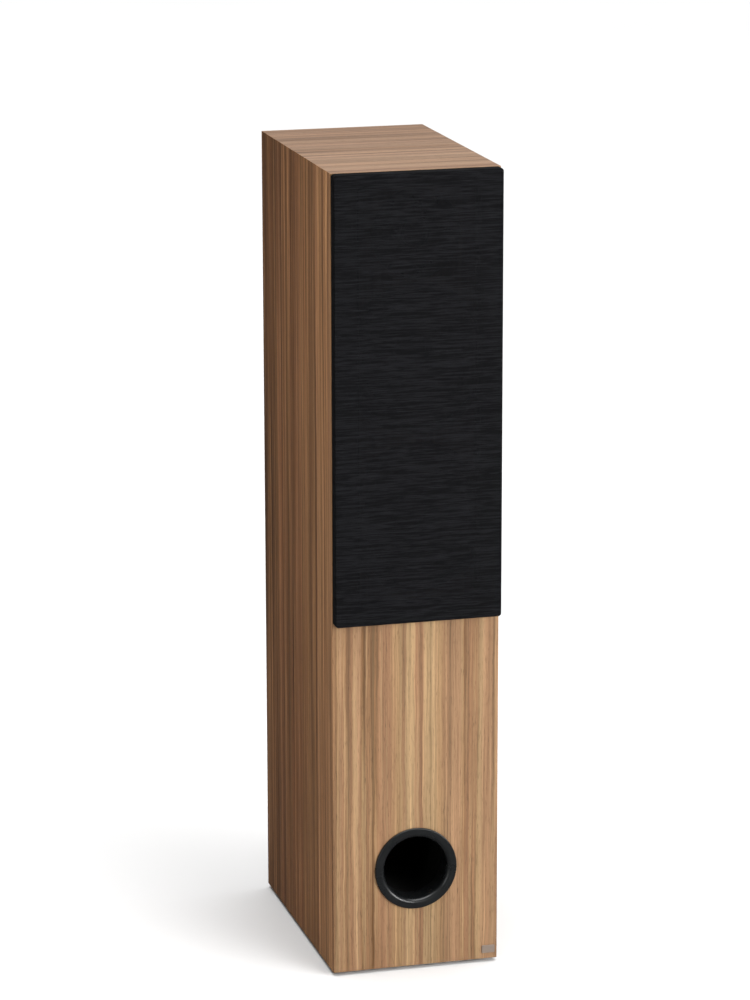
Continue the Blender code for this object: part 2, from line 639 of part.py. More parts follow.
def build_wiring(insulation):
    """One loom: a trunk up the left side, with a branch to each woofer and to each post."""
    trunk_x, trunk_y, trunk_radius, branch_radius = -0.056, FRONT + 0.150, 0.0024, 0.0018
    corner_x, corner_y, corner_z = -0.051, INNER_BACK - 0.070, BOTTOM + 0.080
    trunk = [(-0.049, INNER_BACK - 0.060, FLOOR + 0.0055), (corner_x, corner_y, corner_z)]
    trunk += [(trunk_x, trunk_y, BOTTOM + 0.240), (trunk_x, trunk_y, LOWER_WOOFER_Z)]
    trunk += [(trunk_x, trunk_y, UPPER_WOOFER_Z), (trunk_x, FRONT + 0.120, TWEETER_Z - 0.060)]
    trunk += [(-0.050, FRONT + 0.070, TWEETER_Z - 0.010), (-0.041, FRONT + 0.024, TWEETER_Z)]
    loom = finish("wiring_loom", lead_mesh(trunk, trunk_radius, 28), insulation)
    for name, height in (("upper_branch", UPPER_WOOFER_Z), ("lower_branch", LOWER_WOOFER_Z)):
        branch = [(trunk_x, trunk_y + 0.0006, height - 0.030)]
        branch += [(-0.058, FRONT + 0.100, height - 0.004), (-0.0515, FRONT + 0.050, height)]
        boolean(loom, finish(name, lead_mesh(branch, branch_radius, 7)), "UNION")
    for name, side in (("red_branch", -1), ("black_branch", 1)):
        x = side * POST_SPACING / 2
        branch = [(x, PLATE_FACE - 0.0125, TERMINAL_Z)]
        branch += [(x, INNER_BACK - 0.016, TERMINAL_Z - 0.010)]
        branch += [(x - 0.016, INNER_BACK - 0.045, BOTTOM + 0.140)]
        branch += [(corner_x - 0.0005, corner_y + 0.0005, corner_z + 0.002)]
        boolean(loom, finish(name, lead_mesh(branch, branch_radius, 9)), "UNION")


# ---------------------------------------------------------------- the whole object
def make_looks():
    return {
        "veneer": material("walnut_veneer", (0.43, 0.26, 0.145), 0.45),
        "mdf": material("raw_mdf", (0.33, 0.22, 0.13), 0.85),
        "badge": material("badge_aluminium", (0.60, 0.58, 0.56), 0.35, 1.0),
        "fleece": material("polyester_fleece", (0.75, 0.75, 0.73), 0.95),
        "faceplate": material("black_plastic", (0.014, 0.014, 0.015), 0.45),
        "basket": material("black_painted_steel", (0.018, 0.018, 0.020), 0.45, 0.2),
        "rubber": material("butyl_rubber", (0.016, 0.016, 0.017), 0.60),
        "cone": material("coated_paper", (0.022, 0.022, 0.023), 0.65),
        "spider": material("phenolic_cloth", (0.38, 0.24, 0.07), 0.85),
        "copper": material("enamelled_copper", (0.55, 0.22, 0.09), 0.35, 0.9),
        "ferrite": material("ferrite", (0.055, 0.055, 0.058), 0.60),
        "steel": material("zinc_plated_steel", (0.56, 0.56, 0.58), 0.35, 1.0),
        "silk": material("coated_silk", (0.020, 0.020, 0.022), 0.50),
        "card": material("card_tube", (0.03, 0.03, 0.03), 0.80),
        "frame": material("grille_frame_black", (0.016, 0.016, 0.017), 0.70),
        "cloth": material("grille_cloth", (0.012, 0.012, 0.013), 0.90),
        "gold": material("gold_plated_brass", (0.80, 0.55, 0.22), 0.25, 1.0),
        "red": material("red_plastic", (0.50, 0.012, 0.012), 0.30),
        "black": material("black_gloss_plastic", (0.010, 0.010, 0.011), 0.30),
        "board": material("circuit_board", (0.03, 0.12, 0.05), 0.50),
        "film": material("capacitor_film", (0.62, 0.50, 0.10), 0.40),
        "insulation": material("wire_insulation", (0.02, 0.02, 0.02), 0.50),
    }


def build():
    clear_scene()
    looks = make_looks()
    build_cabinet(looks["veneer"])
    build_brace(looks["mdf"])
    build_feet(looks["rubber"])
    build_badge(looks["badge"])
    build_wadding(looks["fleece"])
    build_woofer("upper_woofer", UPPER_WOOFER_Z, looks)
    build_woofer("lower_woofer", LOWER_WOOFER_Z, looks)
    build_tweeter(looks)
    build_port(looks["faceplate"], looks["card"])
    build_grille(looks)
    build_grille_fixings(looks["faceplate"])
    build_terminals(looks)
    build_crossover(looks)
    build_wiring(looks["insulation"])


build()
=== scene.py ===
"""The finished look of a slim floorstanding loudspeaker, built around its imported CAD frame.

Metres, +Z up, and the front faces -Y, as in the frame. Every piece is modelled where it stands, so
that its object coordinates are the frame's own at rest, and then rides on the CAD body of the node
it stands for. Turned pieces are outlines of (radius, depth) points spun about an axis along Y.
"""

import json
import math

import bmesh
import bpy
from mathutils import Matrix, Vector, noise
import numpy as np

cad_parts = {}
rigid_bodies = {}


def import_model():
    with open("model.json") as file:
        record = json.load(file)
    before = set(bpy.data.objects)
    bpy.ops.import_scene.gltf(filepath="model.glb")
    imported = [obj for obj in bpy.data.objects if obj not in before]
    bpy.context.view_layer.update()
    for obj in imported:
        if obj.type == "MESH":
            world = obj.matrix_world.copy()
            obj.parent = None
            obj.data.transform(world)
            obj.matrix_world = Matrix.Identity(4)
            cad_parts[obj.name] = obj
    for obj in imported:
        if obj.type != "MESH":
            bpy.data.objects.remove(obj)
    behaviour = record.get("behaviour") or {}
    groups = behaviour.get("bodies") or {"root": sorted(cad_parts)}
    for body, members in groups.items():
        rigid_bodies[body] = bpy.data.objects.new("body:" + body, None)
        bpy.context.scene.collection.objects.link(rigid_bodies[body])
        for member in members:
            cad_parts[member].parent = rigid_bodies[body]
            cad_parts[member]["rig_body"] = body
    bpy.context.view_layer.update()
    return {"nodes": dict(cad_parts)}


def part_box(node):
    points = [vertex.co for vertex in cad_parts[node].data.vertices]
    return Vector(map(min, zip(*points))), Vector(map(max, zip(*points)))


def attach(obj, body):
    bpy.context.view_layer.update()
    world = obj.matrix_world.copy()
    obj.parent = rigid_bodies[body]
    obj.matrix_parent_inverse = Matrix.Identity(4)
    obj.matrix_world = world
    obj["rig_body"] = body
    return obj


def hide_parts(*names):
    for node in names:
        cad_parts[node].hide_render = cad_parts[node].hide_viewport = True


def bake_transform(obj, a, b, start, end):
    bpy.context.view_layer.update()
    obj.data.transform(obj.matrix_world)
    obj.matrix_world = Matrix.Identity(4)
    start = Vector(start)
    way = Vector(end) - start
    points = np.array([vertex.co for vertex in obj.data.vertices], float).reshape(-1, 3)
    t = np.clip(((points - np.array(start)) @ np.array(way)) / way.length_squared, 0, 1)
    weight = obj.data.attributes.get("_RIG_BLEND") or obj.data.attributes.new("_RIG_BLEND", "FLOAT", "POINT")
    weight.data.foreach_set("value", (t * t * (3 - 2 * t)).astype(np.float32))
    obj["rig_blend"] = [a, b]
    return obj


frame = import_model()

# ---------------------------------------------------------------- places taken from the frame
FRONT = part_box("front_baffle")[0].y
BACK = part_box("left_side_panel")[1].y
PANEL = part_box("front_baffle")[1].y - FRONT
HALF_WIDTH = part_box("front_baffle")[1].x
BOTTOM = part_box("front_baffle")[0].z
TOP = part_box("front_baffle")[1].z
GRILLE_LOW, GRILLE_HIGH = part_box("grille_cloth")
PLATE_LOW, PLATE_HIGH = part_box("terminal_plate")
PLATE_FACE = PLATE_HIGH.y
TERMINAL_Z = (PLATE_LOW.z + PLATE_HIGH.z) / 2


def axis_of(node, face=FRONT):
    """Where the axis of a turned node crosses a face, which is the baffle's if none is given."""
    low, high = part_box(node)
    return Vector(((low.x + high.x) / 2, face, (low.z + high.z) / 2))


PORT = axis_of("port_flange")
TWEETER = axis_of("tweeter_faceplate")
WOOFERS = {name: axis_of(f"{name}_woofer_basket") for name in ("upper", "lower")}
POSTS = {colour: axis_of(f"{colour}_washer", PLATE_FACE) for colour in ("red", "black")}

# ---------------------------------------------------------------- sizes
GAP = 0.0003
CABINET_EDGE = 0.0007
MITRE_GAP = 0.00001
WOOFER_RADIUS = 0.083
WOOFER_HOLE = 0.073
WOOFER_RIM = 0.0042
CONE_RADIUS = 0.059
COIL_RADIUS = 0.0129
BASKET_BACK = 0.058
MAGNET_RADIUS = 0.045
TWEETER_RADIUS = 0.049
TWEETER_HOLE = 0.0375
TWEETER_RIM = 0.0040
TWEETER_THROAT = 0.0174
PORT_RADIUS = 0.047
PORT_THROAT = 0.036
PORT_HOLE = 0.0398
SPIDER_INNER = 0.0185
SPIDER_OUTER = 0.0440
CLOTH = 0.0005
GRILLE_CORNER = 0.0035
SOCKET_RADIUS = 0.0065
SOCKET_RIM = 0.0008
SOCKET_BODY = 0.0050
SOCKET_LENGTH = 0.0120
POST_RADIUS = 0.003

# screws: the radius of a head, and how many stand on a circle of what radius
WOOFER_SCREW = 0.0027
WOOFER_BOLTS = (6, 0.0795)
TWEETER_SCREW = 0.0024
TWEETER_BOLTS = (4, 0.0435)
TERMINAL_SCREW = 0.0028

GRILLE_CORNERS = ("top_left", "top_right", "bottom_left", "bottom_right")
X, Y, Z = 0, 1, 2

# the camera, solved from the cabinet's corners in the photo: yaw, pitch and roll in degrees
CAMERA_PLACE = (-1.12796, -4.17587, 1.58267)
CAMERA_ANGLES = (15.08, 14.02, -0.118)
CAMERA_LENS = 142.35

# how finely round pieces are cut
LARGE_ROUND = 96
MEDIUM_ROUND = 64
SMALL_ROUND = 40

# what the lights add to a surface's own colour on the cabinet's front: a share of it, and a pale sheen
FRONT_LIGHT = 2.0
FRONT_SHEEN = 0.025


# ---------------------------------------------------------------- colours and shader nodes
def linear(red, green, blue):
    """A colour given from 0 to 255 as a screen shows it, as the linear colour that shaders take."""
    def straighten(value):
        value /= 255
        return value / 12.92 if value <= 0.04045 else ((value + 0.055) / 1.055) ** 2.4

    return straighten(red), straighten(green), straighten(blue)


def seen(red, green, blue):
    """The surface colour that looks like this under the lights on the cabinet's front."""
    return tuple((value - FRONT_SHEEN) / FRONT_LIGHT for value in linear(red, green, blue))


def dimmed(colour, share):
    """A darker version of a colour."""
    return tuple(share * value for value in colour)


class Look:
    """One material: a Principled shader, and short calls that add nodes and join them up."""

    def __init__(self, name, colour, roughness, metallic=0.0):
        self.material = bpy.data.materials.new(name)
        self.material.use_nodes = True
        self.tree = self.material.node_tree
        self.shader = self.tree.nodes["Principled BSDF"]
        self.set("Base Color", (*colour, 1.0))
        self.set("Roughness", roughness)
        self.set("Metallic", metallic)
        self.material.diffuse_color = (*colour, 1.0)
        self.place = self.tree.nodes.new("ShaderNodeTexCoord").outputs["Object"]
        split = self.add("ShaderNodeSeparateXYZ", [self.place])
        self.x, self.y, self.z = split.outputs

    def set(self, socket, value):
        """Gives one of the shader's sockets a value, or joins an output to it."""
        self.feed(self.shader.inputs[socket], value)

    def feed(self, socket, value):
        if isinstance(value, bpy.types.NodeSocket):
            self.tree.links.new(value, socket)
        else:
            socket.default_value = value

    def add(self, kind, inputs=(), **settings):
        """A new node, with its settings and then its first inputs in order."""
        node = self.tree.nodes.new(kind)
        for key, value in settings.items():
            setattr(node, key, value)
        for socket, value in zip(node.inputs, inputs):
            self.feed(socket, value)
        return node

    def math(self, operation, *inputs):
        return self.add("ShaderNodeMath", inputs, operation=operation).outputs[0]

    def vector(self, operation, *inputs, output=0):
        return self.add("ShaderNodeVectorMath", inputs, operation=operation).outputs[output]

    def remap(self, value, old_low, old_high, new_low, new_high):
        inputs = (value, old_low, old_high, new_low, new_high)
        return self.add("ShaderNodeMapRange", inputs).outputs[0]

    def noise_at(self, position, detail):
        node = self.add("ShaderNodeTexNoise", [position])
        node.inputs["Scale"].default_value = 1.0
        node.inputs["Detail"].default_value = detail
        return node.outputs[0]

    def noise(self, in_x, in_y, in_z, detail=2.0, seed=0.0):
        """Noise from 0 to 1 with that many features to the metre along X, Y and Z."""
        stretched = self.vector("MULTIPLY_ADD", self.place, (in_x, in_y, in_z), (seed, seed, seed))
        return self.noise_at(stretched, detail)

    def stripes(self, coordinate, pitch):
        """Soft stripes from 0 to 1 that repeat at that distance along the coordinate."""
        wave = self.math("SINE", self.math("MULTIPLY", coordinate, math.tau / pitch))
        return self.math("MULTIPLY_ADD", wave, 0.5, 0.5)

    def distance_from(self, axis):
        """How far the surface is from an axis along Y through that point."""
        offset = self.vector("SUBTRACT", self.place, tuple(axis))
        flat = self.vector("MULTIPLY", offset, (1.0, 0.0, 1.0))
        return self.vector("LENGTH", flat, output="Value")

    def ramp(self, factor, stops):
        """A colour for each value of factor, from (value, colour) stops in rising order."""
        node = self.add("ShaderNodeValToRGB", [factor])
        elements = node.color_ramp.elements
        while len(elements) < len(stops):
            elements.new(1.0)
        for element, (position, colour) in zip(elements, stops):
            element.position = position
            element.color = (*colour, 1.0)
        return node.outputs[0]

    def blend(self, factor, first, second):
        """A mix of two colours, which are tuples or outputs."""
        node = self.add("ShaderNodeMix", [factor], data_type="RGBA")
        for socket, value in (("A_Color", first), ("B_Color", second)):
            value = value if isinstance(value, bpy.types.NodeSocket) else (*value, 1.0)
            target = next(s for s in node.inputs if s.identifier == socket)
            self.feed(target, value)
        return next(s for s in node.outputs if s.identifier == "Result_Color")

    def scaled(self, colour, factor):
        """A colour made darker or lighter by an output."""
        node = self.add("ShaderNodeVectorMath", [colour], operation="SCALE")
        self.feed(node.inputs["Scale"], factor)
        return node.outputs[0]

    def mottle(self, shade, dark, light, smooth, rough):
        """Lets the colour and the gloss vary together with a noise."""
        self.set("Base Color", self.blend(shade, dark, light))
        self.set("Roughness", self.remap(shade, 0.3, 0.7, smooth, rough))

    def bump(self, height, distance, strength=1.0):
        node = self.add("ShaderNodeBump")
        node.inputs["Strength"].default_value = strength
        node.inputs["Distance"].default_value = distance
        self.feed(node.inputs["Height"], height)
        self.set("Normal", node.outputs[0])


# ---------------------------------------------------------------- wood
MILLIMETRE = 0.001

SLOW_WAVE = 0.005
QUICK_WAVE = 0.0014


def leaf_of(**colours):
    """The named shades of one leaf of veneer, given as each should look on a screen."""
    return {shade: seen(*colour) for shade, colour in colours.items()}


FRONT_LEAF = leaf_of(
    light=(196, 163, 124), tan=(184, 149, 112), pink=(173, 134, 104),
    rosy=(181, 144, 112), brown=(163, 127, 96), dark=(146, 110, 80),
)
# the left side's shades: the front's walnut tinted warmer and less blue for the light on that shaded side, a
# painted light copy that the back also takes
SHADED_SIDE_LEAF = leaf_of(
    light=(222, 165, 116), tan=(177, 130, 87), pink=(167, 114, 79),
    rosy=(173, 122, 83), brown=(140, 98, 65), dark=(123, 86, 58),
)
# the top's shades: a paler, bluer copy of the walnut that paints in the sheen the top shows, also used on
# the bottom
SHEEN_TOP_LEAF = leaf_of(
    light=(193, 159, 131), tan=(184, 150, 122), pink=(174, 139, 113),
    rosy=(182, 147, 121), brown=(162, 128, 102), dark=(146, 115, 91),
)

# bands across each face: where each colour is, in millimetres from the middle or the front edge
FRONT_BANDS = (
    (-95, "brown"), (-91.5, "brown"), (-90, "tan"), (-86, "rosy"), (-83, "brown"), (-72, "pink"),
    (-68, "rosy"), (-64, "rosy"), (-61, "dark"), (-58, "brown"), (-52, "brown"), (-49.5, "dark"),
    (-45, "brown"), (-40, "pink"), (-30, "pink"), (-26, "tan"), (-16, "tan"), (-13, "rosy"),
    (-9.5, "light"), (-2, "light"), (-0.5, "pink"), (8, "pink"), (10, "light"), (20, "light"),
    (26, "tan"), (38, "rosy"), (51, "rosy"), (55, "dark"), (59, "pink"), (69, "brown"), (73, "light"),
    (79, "rosy"),
)
# the sides' bands run light at the front edge and darken towards the back: partly the leaf's own figure,
# partly painted shade where less light reaches the rear
SIDE_GRAIN_AND_SHADE_BANDS = (
    (0, "light"), (18, "light"), (22, "tan"), (28, "light"), (32, "brown"), (37, "light"),
    (46, "tan"), (52, "light"), (60, "light"), (66, "pink"), (76, "tan"), (90, "rosy"),
    (104, "tan"), (116, "rosy"), (128, "tan"), (140, "pink"), (150, "rosy"), (160, "pink"),
    (168, "brown"), (176, "dark"), (182, "pink"), (190, "tan"), (200, "brown"), (208, "rosy"),
    (218, "brown"), (232, "pink"), (242, "rosy"), (250, "brown"), (270, "dark"),
    (282, "brown"), (290, "dark"), (310, "dark"),
)
TOP_BANDS = (
    (0, "rosy"), (10, "pink"), (18, "rosy"), (26, "light"), (44, "tan"), (52, "pink"), (60, "tan"),
    (90, "light"), (112, "rosy"), (130, "tan"), (146, "pink"), (156, "brown"), (164, "tan"),
    (184, "rosy"), (204, "pink"), (218, "tan"), (232, "brown"), (246, "pink"), (258, "brown"),
    (280, "pink"), (292, "brown"), (310, "brown"),
)


def veneer(name, across, along, leaf_colours, bands, origin, seed, broad_features, broad_depth):
    """Open-pored walnut: colour bands across the leaf, with streaks and pores along it.

    across and along are X, Y or Z. origin is where the bands are measured from, in metres.
    Round an edge, the bands go on in the direction through the panel.
    """
    look = Look(name, leaf_colours["tan"], 0.5)
    look.set("Specular IOR Level", 0.12)
    coordinates = (look.x, look.y, look.z)

    def grain(position, features_across, features_along, detail, offset):
        """Noise from 0 to 1 that is drawn out along the grain."""
        place = look.add("ShaderNodeCombineXYZ").inputs
        look.feed(place[0], look.math("MULTIPLY", position, features_across))
        look.feed(place[1], look.math("MULTIPLY", coordinates[along], features_along))
        look.feed(place[2], seed + offset)
        return look.noise_at(place[0].node.outputs[0], detail)

    through = coordinates[X + Y + Z - across - along]
    straight = look.math("SUBTRACT", look.math("ADD", coordinates[across], through), origin)
    slow = look.remap(grain(straight, 5, 1.6, 1.0, 1.1), 0, 1, -SLOW_WAVE, SLOW_WAVE)
    quick = look.remap(grain(straight, 60, 22, 2.0, 2.2), 0, 1, -QUICK_WAVE, QUICK_WAVE)
    leaf = look.math("ADD", straight, look.math("ADD", slow, quick))

    low, high = bands[0][0] * MILLIMETRE, bands[-1][0] * MILLIMETRE
    stops = [((at * MILLIMETRE - low) / (high - low), leaf_colours[colour]) for at, colour in bands]
    base = look.ramp(look.remap(leaf, low, high, 0, 1), stops)
    pinker = look.remap(grain(leaf, 190, 3.0, 2.0, 7.7), 0.48, 0.64, 0, 0.55)
    paler = look.remap(grain(leaf, 260, 2.2, 2.0, 8.8), 0.52, 0.66, 0, 0.65)
    base = look.blend(paler, look.blend(pinker, base, leaf_colours["pink"]), leaf_colours["light"])

    broad = grain(leaf, broad_features, 1.6, 3.0, 3.3)
    broad = look.remap(broad, 0.3, 0.7, 1 - broad_depth, 1 + broad_depth)
    streaks = look.remap(grain(leaf, 430, 3.5, 3.0, 4.4), 0.3, 0.7, 0.76, 1.24)
    hairs = look.remap(grain(leaf, 1100, 10, 2.0, 9.9), 0.3, 0.7, 0.82, 1.18)
    lines = look.remap(grain(leaf, 250, 0.9, 0.0, 5.5), 0.62, 0.70, 1.0, 0.76)
    pores = look.remap(grain(leaf, 2100, 95, 1.0, 6.6), 0.60, 0.72, 1.0, 0.62)
    for layer in (broad, streaks, hairs, lines, pores):
        base = look.scaled(base, layer)
    look.set("Base Color", base)
    look.set("Roughness", look.remap(streaks, 0.76, 1.24, 0.56, 0.44))
    look.bump(look.math("MULTIPLY", pores, hairs), 0.00012, 0.5)
    return look.material


def raw_board():
    """Fibreboard, as at the cut edges and inside the cabinet."""
    return speckled("raw_fibreboard", (0.27, 0.175, 0.10), (0.38, 0.26, 0.16), 900, 0.85, 0.0002)


# ---------------------------------------------------------------- other materials
def speckled(name, dark, light, features, roughness, relief, metallic=0.0):
    """A surface mottled between two colours, with a relief to match."""
    look = Look(name, light, roughness, metallic)
    grains = look.noise(features, features, features, 4.0)
    clouds = look.noise(features / 30, features / 30, features / 30, 2.0, 7.0)
    mixed = look.math("MULTIPLY_ADD", clouds, 0.4, look.math("MULTIPLY", grains, 0.6))
    look.set("Base Color", look.blend(look.remap(mixed, 0.35, 0.65, 0, 1), dark, light))
    look.set("Roughness", look.remap(grains, 0.3, 0.7, roughness - 0.06, min(1.0, roughness + 0.06)))
    look.bump(grains, relief)
    return look.material


def grille_cloth():
    """Black acoustic cloth: a fine plain weave that lets a little of what is behind it show."""
    look = Look("black_acoustic_cloth", (0.0050, 0.0051, 0.0056), 0.92)
    warp = look.stripes(look.x, 0.0008)
    weft = look.stripes(look.z, 0.00065)
    slub = look.noise(70, 70, 900, 3.0)
    threads = look.math("MULTIPLY", look.math("MAXIMUM", warp, weft), slub)
    shade = look.remap(threads, 0.2, 0.65, 0, 1)
    colour = look.blend(shade, (0.0021, 0.0022, 0.0026), (0.0067, 0.0069, 0.0079))
    picks = look.remap(look.noise(25, 25, 600, 1.0, 4.0), 0.35, 0.65, 0.62, 1.38)
    look.set("Base Color", look.scaled(colour, picks))
    look.set("Specular IOR Level", 0.10)
    look.set("Alpha", 0.975)
    look.bump(threads, 0.00015, 0.6)
    return look.material


def moulded(name, colour, roughness, relief=0.00004, features=5000):
    """Moulded plastic with a fine spark-eroded texture and slightly uneven gloss."""
    look = Look(name, colour, roughness)
    clouds = look.noise(60, 60, 60, 3.0, 3.0)
    look.mottle(clouds, dimmed(colour, 0.85), colour, roughness - 0.05, roughness + 0.05)
    look.bump(look.noise(features, features, features, 2.0), relief)
    return look.material


def brushed_metal(name, colour, roughness, metallic=1.0):
    """Sheet metal brushed along X."""
    look = Look(name, colour, roughness, metallic)
    lines = look.noise(150, 150, 9000, 2.0)
    look.mottle(lines, dimmed(colour, 0.75), colour, roughness - 0.08, roughness + 0.12)
    look.bump(lines, 0.00003)
    return look.material


def turned_metal(name, colour, roughness, axis, pitch=0.0004):
    """Metal turned on a lathe, with faint rings about its axis."""
    look = Look(name, colour, roughness, 1.0)
    stains = look.noise(140, 140, 140, 3.0)
    look.mottle(stains, dimmed(colour, 0.8), colour, roughness - 0.07, roughness + 0.1)
    rings = look.stripes(look.math("ADD", look.distance_from(axis), look.y), pitch)
    look.bump(rings, 0.00001)
    return look.material


# ---------------------------------------------------------------- outlines
def arc(centre, radius, start, end, count):
    """Points along an arc, at angles in degrees from the first axis towards the second."""
    angles = [math.radians(start + (end - start) * i / (count - 1)) for i in range(count)]
    return [(centre[0] + radius * math.cos(a), centre[1] + radius * math.sin(a)) for a in angles]


def ring(inner, outer, near, far):
    """Outline of a plain ring, tube or washer; with inner at 0 it is a solid disc or rod."""
    return [(inner, near), (outer, near), (outer, far), (inner, far)]


def rounded(outline, radius, steps=3):
    """A closed outline with its corners eased, by less where their sides are short.

    Corners on the axis, where the first value is 0, stay as they are.
    """
    eased = []
    for i, corner in enumerate(outline):
        corner = Vector(corner)
        if corner.x == 0:
            eased.append(tuple(corner))
            continue
        before = Vector(outline[i - 1]) - corner
        after = Vector(outline[(i + 1) % len(outline)]) - corner
        reach = min(radius, 0.4 * before.length, 0.4 * after.length)
        start = corner + before.normalized() * reach
        end = corner + after.normalized() * reach
        for step in range(steps + 1):
            t = step / steps
            point = start * (1 - t) ** 2 + corner * 2 * t * (1 - t) + end * t**2
            eased.append(tuple(point))
    return eased


def rounded_rectangle(width, height, radius, corner_steps=8):
    """Outline of a rectangle with round corners, centred on the origin, anticlockwise."""
    outline = []
    for quarter, (sx, sz) in enumerate(((1, 1), (-1, 1), (-1, -1), (1, -1))):
        centre = (sx * (width / 2 - radius), sz * (height / 2 - radius))
        outline += arc(centre, radius, 90 * quarter, 90 * quarter + 90, corner_steps + 1)
    return outline


# ---------------------------------------------------------------- meshes
def block_mesh(low, high, edge, steps=4):
    """A block with rounded edges."""
    bm = bmesh.new()
    bmesh.ops.create_cube(bm, size=1.0)
    low, high = Vector(low), Vector(high)
    for vert in bm.verts:
        vert.co = (low + high) / 2 + Vector(c * s for c, s in zip(vert.co, high - low))
    bmesh.ops.bevel(bm, geom=bm.edges[:], offset=edge, segments=steps, profile=0.5, affect="EDGES")
    return bm


def keep_inside(bm, point, outward):
    """Slices off what lies beyond a plane and closes the cut."""
    geometry = bm.verts[:] + bm.edges[:] + bm.faces[:]
    bmesh.ops.bisect_plane(bm, geom=geometry, plane_co=point, plane_no=outward, clear_outer=True)
    bmesh.ops.holes_fill(bm, edges=[edge for edge in bm.edges if edge.is_boundary], sides=0)


def turned_mesh(outline, segments):
    """Spins a closed (radius, depth) outline about the Y axis."""
    bm = bmesh.new()
    points = [bm.verts.new((radius, depth, 0.0)) for radius, depth in outline]
    edges = [bm.edges.new(pair) for pair in zip(points, points[1:] + points[:1])]
    bmesh.ops.spin(
        bm,
        geom=points + edges,
        cent=(0, 0, 0),
        axis=(0, 1, 0),
        angle=math.tau,
        steps=segments,
        use_merge=True,
    )
    bmesh.ops.remove_doubles(bm, verts=bm.verts, dist=1e-6)
    flat = [face for face in bm.faces if face.calc_area() < 1e-13]
    bmesh.ops.delete(bm, geom=flat, context="FACES")
    loose = [edge for edge in bm.edges if not edge.link_faces]
    bmesh.ops.delete(bm, geom=loose, context="EDGES")
    return bm


def skin_mesh(loops, closed_first, closed_last):
    """A skin over loops that have the same number of points each."""
    bm = bmesh.new()
    rows = [[bm.verts.new(point) for point in loop] for loop in loops]
    for near, far in zip(rows, rows[1:]):
        for i in range(len(near)):
            bm.faces.new((near[i - 1], near[i], far[i], far[i - 1]))
    if closed_first:
        bm.faces.new(rows[0])
    if closed_last:
        bm.faces.new(rows[-1])
    return bm


def inset_loops(rows, width, height, corner, least_corner=0.0):
    """Rounded rectangles in the XZ plane, one for each (inset, depth) row."""
    loops = []
    for inset, depth in rows:
        radius = max(corner - inset, least_corner)
        outline = rounded_rectangle(width - 2 * inset, height - 2 * inset, radius)
        loops.append([(x, depth, z) for x, z in outline])
    return loops


def plate_mesh(width, height, radius, near, far, edge, steps=4):
    """A plate in the XZ plane with round corners and eased edges, from depth near to depth far."""
    quarter = arc((0, 0), edge, 0, 90, steps + 1)
    rows = [(edge - a, near + edge - b) for a, b in reversed(quarter)]
    rows += [(edge - a, far - edge + b) for a, b in quarter]
    return skin_mesh(inset_loops(rows, width, height, radius), True, True)


def moved(bm, place):
    """The same mesh, shifted."""
    bmesh.ops.translate(bm, verts=bm.verts, vec=place)
    return bm


def rotated(bm, angle, axis):
    """The same mesh, turned about an axis through the origin."""
    bmesh.ops.rotate(bm, verts=bm.verts, cent=(0, 0, 0), matrix=Matrix.Rotation(angle, 3, axis))
    return bm


def turned_at(place, outline, segments=LARGE_ROUND):
    """A turned mesh with its depths counted from that place."""
    return moved(turned_mesh(outline, segments), place)


def merged(meshes):
    """One bmesh holding copies of several."""
    together = bmesh.new()
    for bm in meshes:
        mesh = bpy.data.meshes.new("part")
        bm.to_mesh(mesh)
        bm.free()
        together.from_mesh(mesh)
        bpy.data.meshes.remove(mesh)
    return together


# ---------------------------------------------------------------- pieces
def new_object(name, bm, looks):
    """An object made from the mesh, which is used up."""
    bmesh.ops.recalc_face_normals(bm, faces=bm.faces)
    mesh = bpy.data.meshes.new(name)
    bm.to_mesh(mesh)
    bm.free()
    obj = bpy.data.objects.new(name, mesh)
    bpy.context.scene.collection.objects.link(obj)
    for look in looks:
        mesh.materials.append(look)
    return obj


def apply_modifiers(obj):
    """Gives the object the mesh that its modifiers make."""
    bpy.context.view_layer.update()
    evaluated = obj.evaluated_get(bpy.context.evaluated_depsgraph_get())
    result = bpy.data.meshes.new_from_object(evaluated)
    obj.modifiers.clear()
    obj.data = result


def combine(obj, other, operation):
    """Joins or cuts the object with another one, which is used up."""
    modifier = obj.modifiers.new("combine", "BOOLEAN")
    modifier.operation = operation
    modifier.solver = "EXACT"
    modifier.object = other
    apply_modifiers(obj)
    bpy.data.objects.remove(other, do_unlink=True)


def cut(obj, cutter_mesh, material_index=0):
    """Cuts a closed mesh out of the object for good. The new faces take that material."""
    for face in cutter_mesh.faces:
        face.material_index = material_index
    combine(obj, new_object("cutter", cutter_mesh, list(obj.data.materials)), "DIFFERENCE")


def taken_back(obj):
    """The object's mesh, to go on working on; the object itself is removed."""
    bm = bmesh.new()
    bm.from_mesh(obj.data)
    bpy.data.objects.remove(obj, do_unlink=True)
    return bm


def joined(meshes):
    """The union of several closed meshes that may overlap."""
    first = new_object("union", meshes[0], [])
    for bm in meshes[1:]:
        combine(first, new_object("other", bm, []), "UNION")
    return taken_back(first)


def shade(obj, angle=35):
    """Smooth shading with sharp corners, and large flat faces kept flat up to their edges."""
    obj.data.shade_smooth()
    obj.data.set_sharp_from_angle(angle=math.radians(angle))
    modifier = obj.modifiers.new("flat_faces", "WEIGHTED_NORMAL")
    modifier.keep_sharp = True
    modifier.weight = 50


def stand_for(obj, *nodes):
    """The object rides on the first node's body and hides the nodes."""
    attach(obj, frame["nodes"][nodes[0]]["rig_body"])
    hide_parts(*nodes)
    return obj


def piece(node, bm, *looks, cutters=(), cut_look=0):
    """A finer piece in the place of one CAD node, with those closed meshes cut out of it."""
    obj = new_object(f"fine_{node}", bm, looks)
    for cutter in cutters:
        cut(obj, cutter, cut_look)
    shade(obj)
    return stand_for(obj, node)


def turned(node, outline, axis, look, edge=0.0003, segments=LARGE_ROUND, cutters=()):
    """A finer turned piece in the place of a CAD node, with the corners of its outline eased."""
    return piece(node, turned_at(axis, rounded(outline, edge), segments), look, cutters=cutters)


